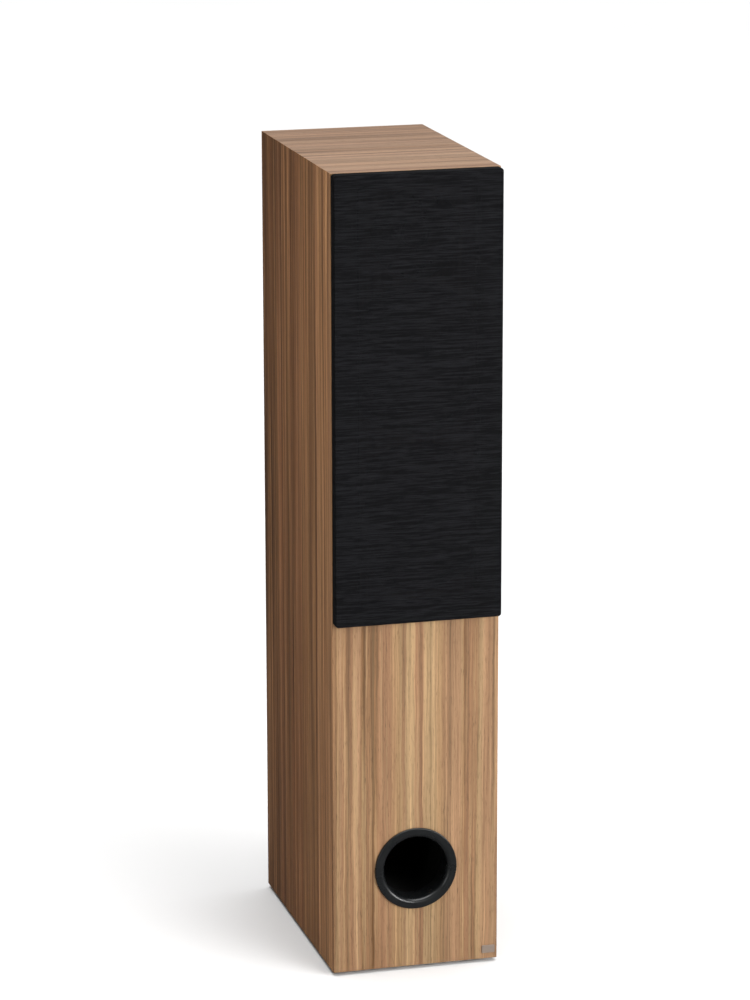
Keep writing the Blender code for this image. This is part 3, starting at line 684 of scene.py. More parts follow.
def standing(node, outline, look):
    """A finer turned piece with its axis upright, on the bottom of its CAD node's box."""
    low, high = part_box(node)
    bm = rotated(turned_mesh(outline, MEDIUM_ROUND), math.pi / 2, "X")
    return piece(node, moved(bm, ((low.x + high.x) / 2, (low.y + high.y) / 2, low.z)), look)


def detail(name, bm, look, body, slot):
    """A piece that has no CAD node of its own."""
    obj = new_object(name, bm, [look])
    shade(obj)
    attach(obj, body)
    return obj


# ---------------------------------------------------------------- cabinet
CABINET_LOW = Vector((-HALF_WIDTH, FRONT, BOTTOM))
CABINET_HIGH = Vector((HALF_WIDTH, BACK, TOP))
OUTWARD = {
    "left": Vector((-1, 0, 0)),
    "right": Vector((1, 0, 0)),
    "front": Vector((0, -1, 0)),
    "bottom": Vector((0, 0, -1)),
    "top": Vector((0, 0, 1)),
}
VENEER, BOARD = 0, 1


def outer_corner(direction):
    """The cabinet's corner in that direction, or the low one along an axis it doesn't point along."""
    ways = zip(direction, CABINET_LOW, CABINET_HIGH)
    return Vector([high if way > 0 else low for way, low, high in ways])


def wall_mesh(face, neighbours):
    """One wall of the cabinet: a slice of a round-edged block, mitred where it meets neighbours."""
    bm = block_mesh(CABINET_LOW, CABINET_HIGH, CABINET_EDGE)
    own = OUTWARD[face]
    keep_inside(bm, outer_corner(own) - own * PANEL, -own)
    for neighbour in neighbours:
        out = OUTWARD[neighbour]
        lean = (out - own).normalized()
        keep_inside(bm, outer_corner(own + out) - lean * MITRE_GAP, lean)
    bm.normal_update()
    for wall_face in bm.faces:
        wall_face.material_index = BOARD if wall_face.normal.dot(own) < -0.5 else VENEER
    return bm


def build_cabinet(board):
    """Four mitred walls, the baffle and the back. Each wall has its own figure."""
    upright, level = ("front", "top", "bottom"), ("front", "left", "right")
    # node, face, its level, what it is mitred to, the grain's axis, the leaf's colours and bands,
    # the seed, and how many broad streaks there are to the metre and how deep they are
    walls = (
        # the left wall takes colours tinted for the light on its shaded side, the top and bottom take a
        # painted sheen, and both side walls take bands with painted shade towards the back
        ("left_side_panel", "left", CABINET_LOW.x, upright, Z, SHADED_SIDE_LEAF, SIDE_GRAIN_AND_SHADE_BANDS, 3.0, 120, 0.34),
        ("right_side_panel", "right", CABINET_HIGH.x, upright, Z, FRONT_LEAF, SIDE_GRAIN_AND_SHADE_BANDS, 8.0, 120, 0.22),
        ("top_panel", "top", CABINET_HIGH.z, level, X, SHEEN_TOP_LEAF, TOP_BANDS, 5.0, 110, 0.27),
        ("bottom_panel", "bottom", CABINET_LOW.z, level, X, SHEEN_TOP_LEAF, TOP_BANDS, 9.0, 110, 0.27),
    )
    for node, face, outer, neighbours, along, leaf_colours, bands, seed, features, depth in walls:
        origin = FRONT + outer
        look = veneer(f"{face}_walnut", Y, along, leaf_colours, bands, origin, seed, features, depth)
        piece(node, wall_mesh(face, neighbours), look, board)
    build_baffle(board)
    build_back(board)


def build_baffle(board):
    """The front wall, with its holes."""
    look = veneer("front_walnut", X, Z, FRONT_LEAF, FRONT_BANDS, FRONT, 0.0, 150, 0.16)
    neighbours = ("left", "right", "top", "bottom")
    bm = wall_mesh("front", neighbours)
    piece("front_baffle", bm, look, board, cutters=[baffle_holes()], cut_look=BOARD)


def build_back(board):
    """The back, let in between the walls, with a hole behind the terminal plate."""
    # the back takes the left side's colours, tinted for the light on that shaded side
    look = veneer("back_walnut", X, Z, SHADED_SIDE_LEAF, FRONT_BANDS, BACK, 12.0, 150, 0.11)
    edge, hole_radius, reach = 0.0003, 0.030, 0.05
    bm = block_mesh(*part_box("back_panel"), edge)
    bm.normal_update()
    for face in bm.faces:
        face.material_index = VENEER if face.normal.y > 0.5 else BOARD
    hole = turned_at((0, BACK, TERMINAL_Z), ring(0, hole_radius, -reach, reach), MEDIUM_ROUND)
    piece("back_panel", bm, look, board, cutters=[hole], cut_look=BOARD)


def baffle_holes():
    """Rebated holes for the drivers, a plain one for the port and four for the grille's sockets."""
    ahead, behind, socket_play = -0.01, PANEL + 0.01, 0.0004

    def rebated(radius, rim, hole, end):
        outline = [(0, ahead), (radius + GAP, ahead), (radius + GAP, rim + GAP)]
        return outline + [(hole, rim + GAP), (hole, end), (0, end)]

    woofer_hole = rebated(WOOFER_RADIUS, WOOFER_RIM, WOOFER_HOLE, behind)
    tweeter_hole = rebated(TWEETER_RADIUS, TWEETER_RIM, TWEETER_HOLE, behind)
    socket_hole = rebated(SOCKET_RADIUS, SOCKET_RIM, SOCKET_BODY + GAP, SOCKET_LENGTH + socket_play)
    holes = [turned_at(place, woofer_hole) for place in WOOFERS.values()]
    holes.append(turned_at(TWEETER, tweeter_hole))
    holes.append(turned_at(PORT, ring(0, PORT_HOLE, ahead, behind)))
    for corner in GRILLE_CORNERS:
        holes.append(turned_at(axis_of(f"grille_socket_{corner}"), socket_hole, SMALL_ROUND))
    return merged(holes)


def build_badge():
    """A blank metal badge with a fine groove round its edge."""
    low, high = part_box("badge_plate")
    width, height, half = high.x - low.x, high.z - low.z, (high.y - low.y) / 2
    corner, least_corner, edge, border, groove, floor = 0.001, 0.0003, 0.0002, 0.0008, 0.0003, 0.00015
    rows = [(0, half), (0, edge - half), (edge, -half), (border, -half)]
    rows += [(border + groove / 2, floor - half), (border + groove, -half)]
    bm = skin_mesh(inset_loops(rows, width, height, corner, least_corner), True, True)
    aluminium = brushed_metal("brushed_aluminium", seen(192, 173, 158), 0.5, 0.35)
    piece("badge_plate", moved(bm, (low + high) / 2), aluminium)


def build_feet(rubber):
    """Rubber pads with a hollow underneath."""
    hollow, edge = 0.0006, 0.0006
    for end in ("front", "back"):
        for side in ("left", "right"):
            node = f"rubber_foot_{end}_{side}"
            low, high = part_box(node)
            radius, height = (high.x - low.x) / 2, high.z - low.z
            outline = [(0, hollow), (0.5 * radius, hollow), (0.6 * radius, 0), (0.92 * radius, 0)]
            outline += [(radius, 0.2 * height), (0.97 * radius, height), (0, height)]
            standing(node, rounded(outline, edge), rubber)


def build_brace(board):
    """A level frame that ties the walls together."""
    low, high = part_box("cabinet_brace")
    rail, edge, corner = 0.012, 0.0004, 0.010
    past = Vector((0, 0, 3 * corner))
    window_low = low + Vector((rail, rail, 0)) - past
    window_high = high - Vector((rail, 2 * rail, 0)) + past
    window = block_mesh(window_low, window_high, corner)
    piece("cabinet_brace", block_mesh(low, high, edge), board, cutters=[window])


def build_wadding():
    """A soft pad of fleece, flat against the back wall and lumpy elsewhere."""
    low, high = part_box("acoustic_wadding")
    edge, voxel, swell, lump = 0.020, 0.006, 0.0035, 0.022
    pad = new_object("fine_acoustic_wadding", block_mesh(low, high, edge), [fleece()])
    remesh = pad.modifiers.new("remesh", "REMESH")
    remesh.mode = "VOXEL"
    remesh.voxel_size = voxel
    apply_modifiers(pad)
    verts = pad.data.vertices
    for vert, normal in zip(verts, [Vector(v.normal) for v in verts]):
        sink = swell * (0.5 + 0.5 * noise.noise(vert.co / lump))
        place = vert.co - normal * sink
        vert.co = [min(max(value, least), most) for value, least, most in zip(place, low, high)]
    pad.data.shade_smooth()
    stand_for(pad, "acoustic_wadding")


# ---------------------------------------------------------------- reflex port
def build_port(plastic):
    """A flared moulding in the front of a long card tube."""
    sleeve, sleeve_end, lip, edge, flare = 0.0374, 0.024, 0.0026, 0.0012, 0.005
    flange = [(sleeve, sleeve_end), (sleeve, -GAP), (PORT_RADIUS, -GAP)]
    flange += arc((PORT_RADIUS - edge, edge - lip), edge, 0, -90, 7)
    flange += arc((PORT_THROAT + flare, flare - lip), flare, -90, -180, 13)
    flange += [(PORT_THROAT, sleeve_end)]
    piece("port_flange", turned_at(PORT, flange), plastic)
    low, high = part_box("port_tube")
    tube = ring(sleeve + GAP, (high.x - low.x) / 2, low.y - FRONT, high.y - FRONT)
    turned("port_tube", tube, PORT, card_tube(), 0.0004)


def card_tube():
    """Black card wound in a spiral, with a seam at each turn, coloured darker still as painted shade deep
    inside the port.
    """
    look = Look("wound_card", (0.003, 0.003, 0.003), 0.9)
    look.set("Specular IOR Level", 0.1)
    strip = 0.030
    angle = look.math("ARCTAN2", look.math("SUBTRACT", look.z, PORT.z), look.x)
    turn = look.math("MULTIPLY_ADD", angle, strip / math.tau, look.y)
    seam = look.remap(look.math("PINGPONG", turn, strip / 2), 0, 0.0006, 0, 1)
    fibres = look.noise(400, 2500, 400, 3.0)
    look.set("Base Color", look.blend(fibres, (0.002, 0.002, 0.002), (0.005, 0.005, 0.0045)))
    look.bump(look.math("MULTIPLY_ADD", fibres, 0.3, seam), 0.00015)
    return look.material


# ---------------------------------------------------------------- grille
GRILLE_SIZE = (GRILLE_HIGH.x - GRILLE_LOW.x, GRILLE_HIGH.z - GRILLE_LOW.z)
GRILLE_MIDDLE = Vector((0, FRONT, (GRILLE_LOW.z + GRILLE_HIGH.z) / 2))


def build_grille_frame():
    """A flat black frame, let in by the cloth's thickness all round."""
    low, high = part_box("grille_frame")
    inset, edge = CLOTH + GAP, 0.0008
    near, far = low.y - FRONT, high.y - FRONT
    width, height = (side - 2 * inset for side in GRILLE_SIZE)
    bm = plate_mesh(width, height, GRILLE_CORNER - inset, near, far, edge)
    dark, pale = (0.010, 0.010, 0.011), (0.022, 0.022, 0.023)
    black = speckled("grille_frame_black", dark, pale, 2500, 0.7, 0.00004)
    return piece("grille_frame", moved(bm, GRILLE_MIDDLE), black, cutters=[grille_window(near)])


def grille_window(face):
    """The opening with its chamfered front edge, the hollows for the surrounds and the peg holes."""
    side_bar, top_bar, bottom_bar, corner, chamfer, ahead = 0.028, 0.016, 0.024, 0.004, 0.003, 0.002
    hollow_radius, hollow_front, peg_radius, peg_front, behind = 0.078, -0.0094, 0.0026, -0.0087, 0.02
    window = (GRILLE_SIZE[0] - 2 * side_bar, GRILLE_SIZE[1] - top_bar - bottom_bar)
    centre = GRILLE_MIDDLE + Vector((0, 0, (bottom_bar - top_bar) / 2))
    rows = [(-chamfer - ahead, face - ahead), (0, face + chamfer), (0, behind / 2)]
    openings = [moved(skin_mesh(inset_loops(rows, *window, corner), True, True), centre)]
    hollow = ring(0, hollow_radius, hollow_front, behind)
    openings += [turned_at(place, hollow) for place in WOOFERS.values()]
    peg_hole = ring(0, peg_radius, peg_front, behind)
    for corner_name in GRILLE_CORNERS:
        openings.append(turned_at(axis_of(f"grille_peg_{corner_name}"), peg_hole, SMALL_ROUND))
    return joined(openings)


def build_grille_cloth(frame_piece):
    """One piece of cloth pulled over the frame's front and edges and glued down behind."""
    fold, edge, back, least_corner = 0.012, 0.0014, -0.0002, 0.0006
    (width, height), face = GRILLE_SIZE, GRILLE_LOW.y - FRONT
    rows = [(fold, back), (0.003, back), (0.0004, back - 0.0001), (0, back - 0.0005)]
    rows += [(edge - a, face + edge - b) for a, b in arc((0, 0), edge, 0, 90, 7)]
    rows += [(inset, face) for inset in (0.006, 0.015, 0.030, 0.050, 0.075)]
    loops = inset_loops(rows, width, height, GRILLE_CORNER, least_corner)
    bm = skin_mesh(loops, False, True)
    obj = piece("grille_cloth", moved(bm, GRILLE_MIDDLE), grille_cloth())


# ---------------------------------------------------------------- fixings
def build_fixings(plastic):
    """Pegs on the grille's frame and the sockets in the baffle that hold them."""
    root, root_front, seat, pin, nose, tip = 0.0023, -0.0083, -0.0001, 0.0030, 0.0066, 0.0090
    peg = [(0, root_front), (root, root_front), (root, seat), (pin, seat), (pin, nose)]
    peg += [(0.0026, 0.0082), (0.0018, tip), (0, tip)]
    bore, bore_end = 0.0034, 0.0105
    socket = [(bore, 0), (SOCKET_RADIUS, 0), (SOCKET_RADIUS, SOCKET_RIM), (SOCKET_BODY, SOCKET_RIM)]
    socket += [(SOCKET_BODY, SOCKET_LENGTH), (0, SOCKET_LENGTH), (0, bore_end), (bore, bore_end)]
    for corner in GRILLE_CORNERS:
        for node, outline in ((f"grille_peg_{corner}", peg), (f"grille_socket_{corner}", socket)):
            turned(node, outline, axis_of(node), plastic, segments=SMALL_ROUND)


def bolt_circle(axis, count, radius):
    """Evenly spaced places round an axis, none of them straight above it."""
    angles = [math.tau * (i + 0.5) / count for i in range(count)]
    return [axis + Vector((radius * math.sin(a), 0, radius * math.cos(a))) for a in angles]


def countersink(radius, places, faces_back=False):
    """Closed cones to cut out where screw heads of that radius lie flush."""
    play, ahead, rim = 0.0001, 0.002, 0.0005
    outline = [(0, -ahead), (radius + play, -ahead), (radius + play, rim)]
    outline += [(0.5 * radius + play, 0.7 * radius + play), (0, 0.7 * radius + play)]
    cones = []
    for place in places:
        cone = turned_mesh(outline, SMALL_ROUND)
        if faces_back:
            rotated(cone, math.pi, "Z")
        cones.append(moved(cone, place))
    return merged(cones)


def screw_head(radius):
    """A countersunk head with a cross recess, its face just below depth 0."""
    sunk, rim, edge, recess_edge = 0.0001, 0.0003, 0.00015, 0.00005
    outline = [(0, sunk), (radius, sunk), (radius, sunk + rim)]
    outline += [(0.5 * radius, 0.7 * radius), (0, 0.7 * radius)]
    head = new_object("screw", turned_mesh(rounded(outline, edge), SMALL_ROUND), [])
    arm, half_width, depth = 0.55 * radius, 0.11 * radius, 0.4 * radius
    level = block_mesh((-arm, -depth, -half_width), (arm, depth, half_width), recess_edge)
    upright = block_mesh((-half_width, -depth, -arm), (half_width, depth, arm), recess_edge)
    cut(head, joined([level, upright]))
    return taken_back(head)


def build_screws(name, places, radius, look, faces_back=False):
    """Cross-headed screws, each driven to a different angle, as one piece on the cabinet."""
    turn_each = 1.9
    head = screw_head(radius)
    heads = []
    for i, place in enumerate(places):
        one = rotated(head.copy(), i * turn_each, "Y")
        if faces_back:
            rotated(one, math.pi, "Z")
        heads.append(moved(one, place))
    head.free()
    return detail(name, merged(heads), look, "cabinet", "painted_steel")


# ---------------------------------------------------------------- materials of the drivers
def felted(look, slow, middling, fast, detail_level, offset):
    """Fibres that lie at two slants, from 0 to 1."""
    one_way = look.noise(slow, middling, fast, detail_level)
    other_way = look.noise(fast, middling, slow, detail_level, offset)
    return look.math("MAXIMUM", one_way, other_way)


def pressed_paper(name, axis):
    """Coated paper pulp: fibres at all angles, with faint pressing rings round the axis."""
    look = Look(name, (0.014, 0.014, 0.015), 0.62)
    fibres = felted(look, 250, 1200, 2600, 3.0, 5.0)
    rings = look.stripes(look.distance_from(axis), 0.0012)
    shade = look.remap(fibres, 0.45, 0.75, 0, 1)
    look.set("Base Color", look.blend(shade, (0.009, 0.009, 0.010), (0.022, 0.022, 0.023)))
    look.set("Roughness", look.remap(fibres, 0.4, 0.8, 0.55, 0.72))
    look.bump(look.math("MULTIPLY_ADD", rings, 0.15, fibres), 0.00008)
    return look.material


def woven(name, dark, light, roughness, pitch, relief):
    """A plain weave of that pitch in the XZ plane, stiffened by its coating."""
    look = Look(name, light, roughness)
    weave = look.math("MAXIMUM", look.stripes(look.x, pitch), look.stripes(look.z, pitch))
    stains = look.noise(180, 180, 180, 3.0)
    mixed = look.math("MULTIPLY_ADD", weave, 0.5, look.math("MULTIPLY", stains, 0.6))
    look.set("Base Color", look.blend(look.remap(mixed, 0.3, 0.9, 0, 1), dark, light))
    look.set("Roughness", look.remap(stains, 0.3, 0.7, roughness - 0.08, roughness + 0.08))
    look.bump(weave, relief)
    return look.material


def enamelled_copper():
    """Winding wire with an uneven coat of enamel."""
    look = Look("enamelled_copper", (0.52, 0.20, 0.08), 0.32, 1.0)
    look.mottle(look.noise(260, 260, 260, 3.0), (0.36, 0.13, 0.05), (0.60, 0.25, 0.10), 0.26, 0.42)
    look.bump(look.noise(3000, 3000, 3000, 2.0), 0.00001)
    return look.material


def fleece():
    """White polyester fibres, felted at random."""
    look = Look("polyester_fleece", (0.72, 0.72, 0.70), 0.95)
    fibres = felted(look, 120, 900, 1400, 4.0, 6.0)
    clouds = look.noise(40, 40, 40, 3.0)
    mixed = look.math("MULTIPLY_ADD", clouds, 0.5, look.math("MULTIPLY", fibres, 0.6))
    shade = look.remap(mixed, 0.35, 0.75, 0, 1)
    look.set("Base Color", look.blend(shade, (0.58, 0.58, 0.55), (0.80, 0.80, 0.78)))
    look.bump(fibres, 0.0006)
    return look.material


# ---------------------------------------------------------------- drivers
WOOFER_MOTOR = {
    "coil": COIL_RADIUS, "winding": 0.0011, "plate_front": BASKET_BACK + GAP, "plate": 0.0050,
    "magnet": 0.0160, "magnet_bore": 0.022, "magnet_radius": MAGNET_RADIUS, "disc": 0.0055,
}
TWEETER_MOTOR = {
    "coil": 0.0126, "winding": 0.0005, "plate_front": 0.0106, "plate": 0.0040,
    "magnet": 0.0120, "magnet_bore": 0.019, "magnet_radius": 0.036, "disc": 0.0040,
}
PLAY = 0.0008


def bezier(start, bend, end, count):
    """Points along a curve from start to end that leans towards bend."""
    steps = [i / (count - 1) for i in range(count)]
    start, bend, end = Vector(start), Vector(bend), Vector(end)
    return [tuple(start * (1 - t) ** 2 + bend * 2 * t * (1 - t) + end * t**2) for t in steps]


def dome(radius, crest, base, thickness, count):
    """The front and the back of a thin spherical cap, each from its crest outwards."""
    rise = base - crest
    curve = (radius**2 + rise**2) / (2 * rise)
    spread = math.degrees(math.asin(radius / curve))
    centre = (0, crest + curve)
    front = arc(centre, curve, -90, -90 + spread, count)
    back = arc(centre, curve - thickness, -90, -90 + spread, count)
    front[0], back[0] = (0, crest), (0, crest + thickness)
    return front, back


def suspension(node, outline, axis, look, moving_body, moving_radius, still_radius):
    """A piece that follows the moving body inside one radius and the cabinet outside another."""
    obj = new_object(f"fine_{node}", turned_at(axis, outline), [look])
    obj.data.shade_smooth()
    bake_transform(obj, "cabinet", moving_body, start=tuple(axis), end=(axis.x, axis.y + CLOTH, axis.z))
    weights = obj.data.attributes["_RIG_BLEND"].data
    for vert, weight in zip(obj.data.vertices, weights):
        radius = math.hypot(vert.co.x - axis.x, vert.co.z - axis.z)
        share = (still_radius - radius) / (still_radius - moving_radius)
        share = min(1.0, max(0.0, share))
        weight.value = share * share * (3 - 2 * share)
    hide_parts(node)


def build_woofer(name, axis, steel_paint, rubber, copper):
    """All of a woofer but its motor. The winding lies in the motor's gap at rest."""
    former_front, winding_front, winding_back = 0.0318, 0.0540, 0.0670
    driver, body = f"{name}_woofer", f"{name}_cone_assembly"
    dark, light = (0.26, 0.15, 0.035), (0.42, 0.27, 0.08)
    resin_cloth = woven(f"{name}_resin_cloth", dark, light, 0.8, 0.0007, 0.00012)
    build_basket(driver, axis, steel_paint)
    surround_limits, spider_limits = (CONE_RADIUS, 0.070), (SPIDER_INNER, SPIDER_OUTER)
    suspension(f"{driver}_surround", surround_outline(), axis, rubber, body, *surround_limits)
    suspension(f"{driver}_spider", spider_outline(), axis, resin_cloth, body, *spider_limits)
    build_cone(driver, axis, pressed_paper(f"{name}_paper", axis))
    coil = f"{driver}_voice_coil"
    wound_coil(coil, WOOFER_MOTOR, axis, copper, former_front, winding_front, winding_back)


def surround_outline():
    """A half-roll of rubber with one lip on the cone and the other on the basket."""
    middle, roll, thickness, lip, points = 0.0645, 0.0055, 0.0009, 0.0005, 25
    inner, outer = 0.0565, 0.0757
    front = [(inner, lip)] + arc((middle, lip), roll, 180, 360, points) + [(outer, lip)]
    back = arc((middle, lip + thickness), roll - thickness, 360, 180, points)
    return front + [(outer, lip + thickness)] + back + [(inner, lip + thickness)]


def build_cone(driver, axis, paper):
    """A shallow curved cone, ribbed, with a dust cap over its middle."""
    points, edge = 61, 0.0001
    curve = bezier((CONE_RADIUS, 0.0018), (0.0357, 0.0114), (0.0137, 0.0315), points)
    curve += bezier((0.0137, 0.0327), (0.0357, 0.0127), (CONE_RADIUS, 0.0028), points)
    cone = [(radius, depth - cone_rib(radius)) for radius, depth in curve]
    turned(f"{driver}_cone", cone, axis, paper, edge)
    cap_radius, crest, base, thickness = 0.019, 0.0208, 0.0267, 0.0008
    front, back = dome(cap_radius, crest, base, thickness, 20)
    turned(f"{driver}_dust_cap", front + back[::-1], axis, paper, edge, MEDIUM_ROUND)


def cone_rib(radius):
    """How far the cone is pressed forward at that radius, by three fine ribs."""
    height, width = 0.0003, 0.0009
    return sum(height * math.exp(-(((radius - rib) / width) ** 2)) for rib in (0.028, 0.038, 0.048))


def spider_outline():
    """A cloth disc with four smooth waves between the coil former and the basket's ledge."""
    folds, level, height, thickness, samples = 4, 0.0366, 0.0016, 0.0005, 65
    former, ledge = 0.0137, 0.0514
    front = [(former, level)]
    for i in range(samples):
        share = i / (samples - 1)
        depth = level - height * math.sin(math.pi * folds * share)
        front.append((SPIDER_INNER + (SPIDER_OUTER - SPIDER_INNER) * share, depth))
    front.append((ledge, level))
    return front + [(radius, depth + thickness) for radius, depth in reversed(front)]


def build_basket(driver, axis, steel_paint):
    """A pressed frame with six windows and six countersunk holes."""
    outline = [(WOOFER_RADIUS, 0), (WOOFER_RADIUS, WOOFER_RIM), (0.0724, WOOFER_RIM)]
    outline += [(0.0714, 0.0130), (0.0535, 0.0360), (0.0535, 0.0390), (0.0462, 0.0390)]
    outline += [(0.0462, BASKET_BACK), (0.0190, BASKET_BACK), (0.0190, 0.0564), (0.0446, 0.0564)]
    outline += [(0.0446, 0.0374), (0.0519, 0.0374), (0.0519, 0.0354), (0.0697, 0.0126)]
    outline += [(0.0706, 0.0018), (0.0760, 0.0018), (0.0760, 0)]
    reach, front, back, half_width, corner = 0.1, 0.0165, 0.0335, 0.017, 0.003
    slots = []
    for angle in (30, 90, 150):
        slot = block_mesh((-reach, front, -half_width), (reach, back, half_width), corner, 3)
        slots.append(moved(rotated(slot, math.radians(angle), "Y"), axis))
    cutters = [joined(slots), countersink(WOOFER_SCREW, bolt_circle(axis, *WOOFER_BOLTS))]
    turned(f"{driver}_basket", outline, axis, steel_paint, 0.0008, cutters=cutters)


def turns_of_wire(outer, front, back, count):
    """The outside of a coil: round wire wound side by side."""
    pitch = (back - front) / count
    outline = []
    for i in range(count):
        outline += arc((outer - pitch / 2, front + (i + 0.5) * pitch), pitch / 2, -80, 80, 5)
    return outline


def wound_coil(node, motor, axis, copper, former_front, winding_front, winding_back):
    """A voice coil: a thin former with turns of round wire on its back end."""
    radius, former = motor["coil"], min(0.0004, motor["winding"] / 2)
    wire = (motor["winding"] - former) / 2
    turns = round((winding_back - winding_front) / (2 * wire))
    outline = [(radius, former_front), (radius + former, former_front)]
    outline += turns_of_wire(radius + motor["winding"], winding_front, winding_back, turns)
    outline += [(radius + former, winding_back), (radius, winding_back)]
    piece(node, turned_at(axis, outline, MEDIUM_ROUND), copper)


def build_motor(driver, motor, axis, ferrite):
    """A steel plate, a ferrite ring and a yoke with its pole, stacked behind a driver."""
    steel = turned_metal(f"{driver}_plated_steel", (0.56, 0.56, 0.58), 0.34, axis)
    steel_edge, ferrite_edge, step, dimple = 0.0006, 0.0010, 0.002, 0.0008
    plate_front, radius = motor["plate_front"], motor["magnet_radius"]
    magnet_front = plate_front + motor["plate"] + GAP
    disc_front = magnet_front + motor["magnet"] + GAP
    gap_wall = motor["coil"] + motor["winding"] + PLAY
    top_plate = ring(gap_wall, radius, plate_front, plate_front + motor["plate"])
    turned(f"{driver}_top_plate", top_plate, axis, steel, steel_edge)
    magnet = ring(motor["magnet_bore"], radius, magnet_front, magnet_front + motor["magnet"])
    turned(f"{driver}_magnet", magnet, axis, ferrite, ferrite_edge)
    pole, disc = motor["coil"] - PLAY, radius - step
    back = disc_front + motor["disc"]
    yoke = [(0, plate_front), (pole, plate_front), (pole, disc_front), (disc, disc_front)]
    yoke += [(disc, back), (0.5 * radius, back), (0.42 * radius, back - dimple), (0, back - dimple)]
    turned(f"{driver}_yoke", yoke, axis, steel, steel_edge)


def build_tweeter(plastic, copper):
    """A faceplate flared like a shallow horn, a silk dome with a half-roll, and its coil."""
    back, plate_radius = 0.0082, TWEETER_MOTOR["magnet_radius"]
    outline = [(plate_radius, back), (plate_radius, TWEETER_RIM), (TWEETER_RADIUS, TWEETER_RIM)]
    outline += [(TWEETER_RADIUS, 0)]
    outline += bezier((0.0380, 0), (0.0290, 0.0013), (TWEETER_THROAT, 0.0071), 15)
    outline += [(TWEETER_THROAT, back)]
    cutters = [countersink(TWEETER_SCREW, bolt_circle(TWEETER, *TWEETER_BOLTS))]
    turned("tweeter_faceplate", outline, TWEETER, plastic, 0.0005, cutters=cutters)

    dark, light = (0.010, 0.010, 0.011), (0.022, 0.022, 0.024)
    coated_silk = woven("coated_silk", dark, light, 0.45, 0.0004, 0.00003)
    moving_radius, still_radius = 0.0132, 0.0166
    limits = (moving_radius, still_radius)
    suspension("tweeter_dome", dome_outline(), TWEETER, coated_silk, "tweeter_diaphragm", *limits)
    former_front, winding_front, winding_back = 0.0100, 0.0103, 0.0140
    coil = "tweeter_voice_coil"
    wound_coil(coil, TWEETER_MOTOR, TWEETER, copper, former_front, winding_front, winding_back)


def dome_outline():
    """The tweeter's dome, half-roll and lip, in one piece of silk."""
    radius, crest, base, silk = 0.0128, 0.0038, 0.0094, 0.0003
    roll, roll_middle, lip, lip_end, points = 0.0016, 0.0148, base - 0.0001, 0.0190, 13
    front, back = dome(radius, crest, base, silk, 20)
    outline = front + arc((roll_middle, lip), roll, 180, 360, points)
    outline += [(lip_end, lip), (lip_end, lip + silk)]
    return outline + arc((roll_middle, lip), roll - silk, 360, 180, points) + back[::-1]


# ---------------------------------------------------------------- binding posts
def build_terminals(plastic, oxide):
    """A moulded plate with two gold-plated posts, each with a washer under a fluted knob."""
    build_terminal_plate(plastic, oxide)
    flange, flange_back, post_front, post_back = 0.0078, 0.0028, -0.012, 0.0200
    core, core_front = 0.00205, 0.004
    post = [(0, post_front), (POST_RADIUS, post_front), (POST_RADIUS, GAP), (flange, GAP)]
    post += [(flange, flange_back), (POST_RADIUS, flange_back), (POST_RADIUS, post_back - 0.0005)]
    post += [(core, post_back), (core, core_front), (0, core_front)]
    washer_radius, washer_face, washer_back = 0.0068, 0.0031, 0.0043
    washer = ring(POST_RADIUS + GAP, washer_radius, washer_face, washer_back)
    plastics = {
        "red": moulded("red_plastic", (0.42, 0.010, 0.010), 0.30),
        "black": moulded("gloss_black_plastic", (0.010, 0.010, 0.011), 0.28),
    }
    for colour, look in plastics.items():
        axis = POSTS[colour]
        gold = turned_metal(f"{colour}_post_gold", (0.80, 0.55, 0.22), 0.24, axis, 0.0007)
        turned(f"{colour}_post", post, axis, gold, segments=MEDIUM_ROUND)
        turned(f"{colour}_washer", washer, axis, gold, segments=MEDIUM_ROUND)
        piece(f"{colour}_knob", moved(knob_mesh(), axis), look)


def build_terminal_plate(plastic, oxide):
    """The plate, with holes for both posts and a screw near each corner."""
    width, thickness, height = PLATE_HIGH - PLATE_LOW
    corner, edge, reach, play, screw_x, screw_z = 0.008, 0.0008, 0.02, 0.0004, 0.035, 0.029
    offsets = [(x, z) for x in (-screw_x, screw_x) for z in (-screw_z, screw_z)]
    places = [Vector((x, PLATE_FACE, TERMINAL_Z + z)) for x, z in offsets]
    bm = plate_mesh(width, height, corner, -thickness, 0, edge)
    post_hole = ring(0, POST_RADIUS + play, -reach, reach)
    post_holes = [turned_at(axis, post_hole, SMALL_ROUND) for axis in POSTS.values()]
    cutters = [merged(post_holes), countersink(TERMINAL_SCREW, places, True)]
    piece("terminal_plate", moved(bm, (0, PLATE_FACE, TERMINAL_Z)), plastic, cutters=cutters)
    build_screws("terminal_screws", places, TERMINAL_SCREW, oxide, True)


def knob_mesh():
    """A nut with twelve rounded flutes, a plain collar at its outer end and a bore right through."""
    flutes, points, bore, near, far, ease = 12, 96, 0.0033, 0.0046, 0.0210, 0.0003
    grip, flute, grip_end, collar, collar_start = 0.0075, 0.0008, 0.0154, 0.0068, 0.0168
    rows = [(bore, 0, near + ease), (bore + ease, 0, near), (0.0060, 0, near)]
    rows += [(0.0070, 0.0005, near + 0.0004), (grip, flute, near + 0.0012)]
    rows += [(grip, flute, grip_end), (0.0073, 0.0006, 0.0162), (collar, 0, collar_start)]
    rows += [(collar, 0, far - 0.0006), (0.0066, 0, far - 0.0002), (0.0062, 0, far)]
    rows += [(bore + ease, 0, far), (bore, 0, far - ease)]
    loops = []
    for radius, sunk, depth in rows:
        loop = []
        for i in range(points):
            angle = math.tau * i / points
            here = radius - sunk * (0.5 - 0.5 * math.cos(flutes * angle)) ** 2
            loop.append((here * math.cos(angle), depth, here * math.sin(angle)))
        loops.append(loop)
    bm = skin_mesh(loops + loops[:1], False, False)
    bmesh.ops.remove_doubles(bm, verts=bm.verts, dist=1e-7)
    return bm


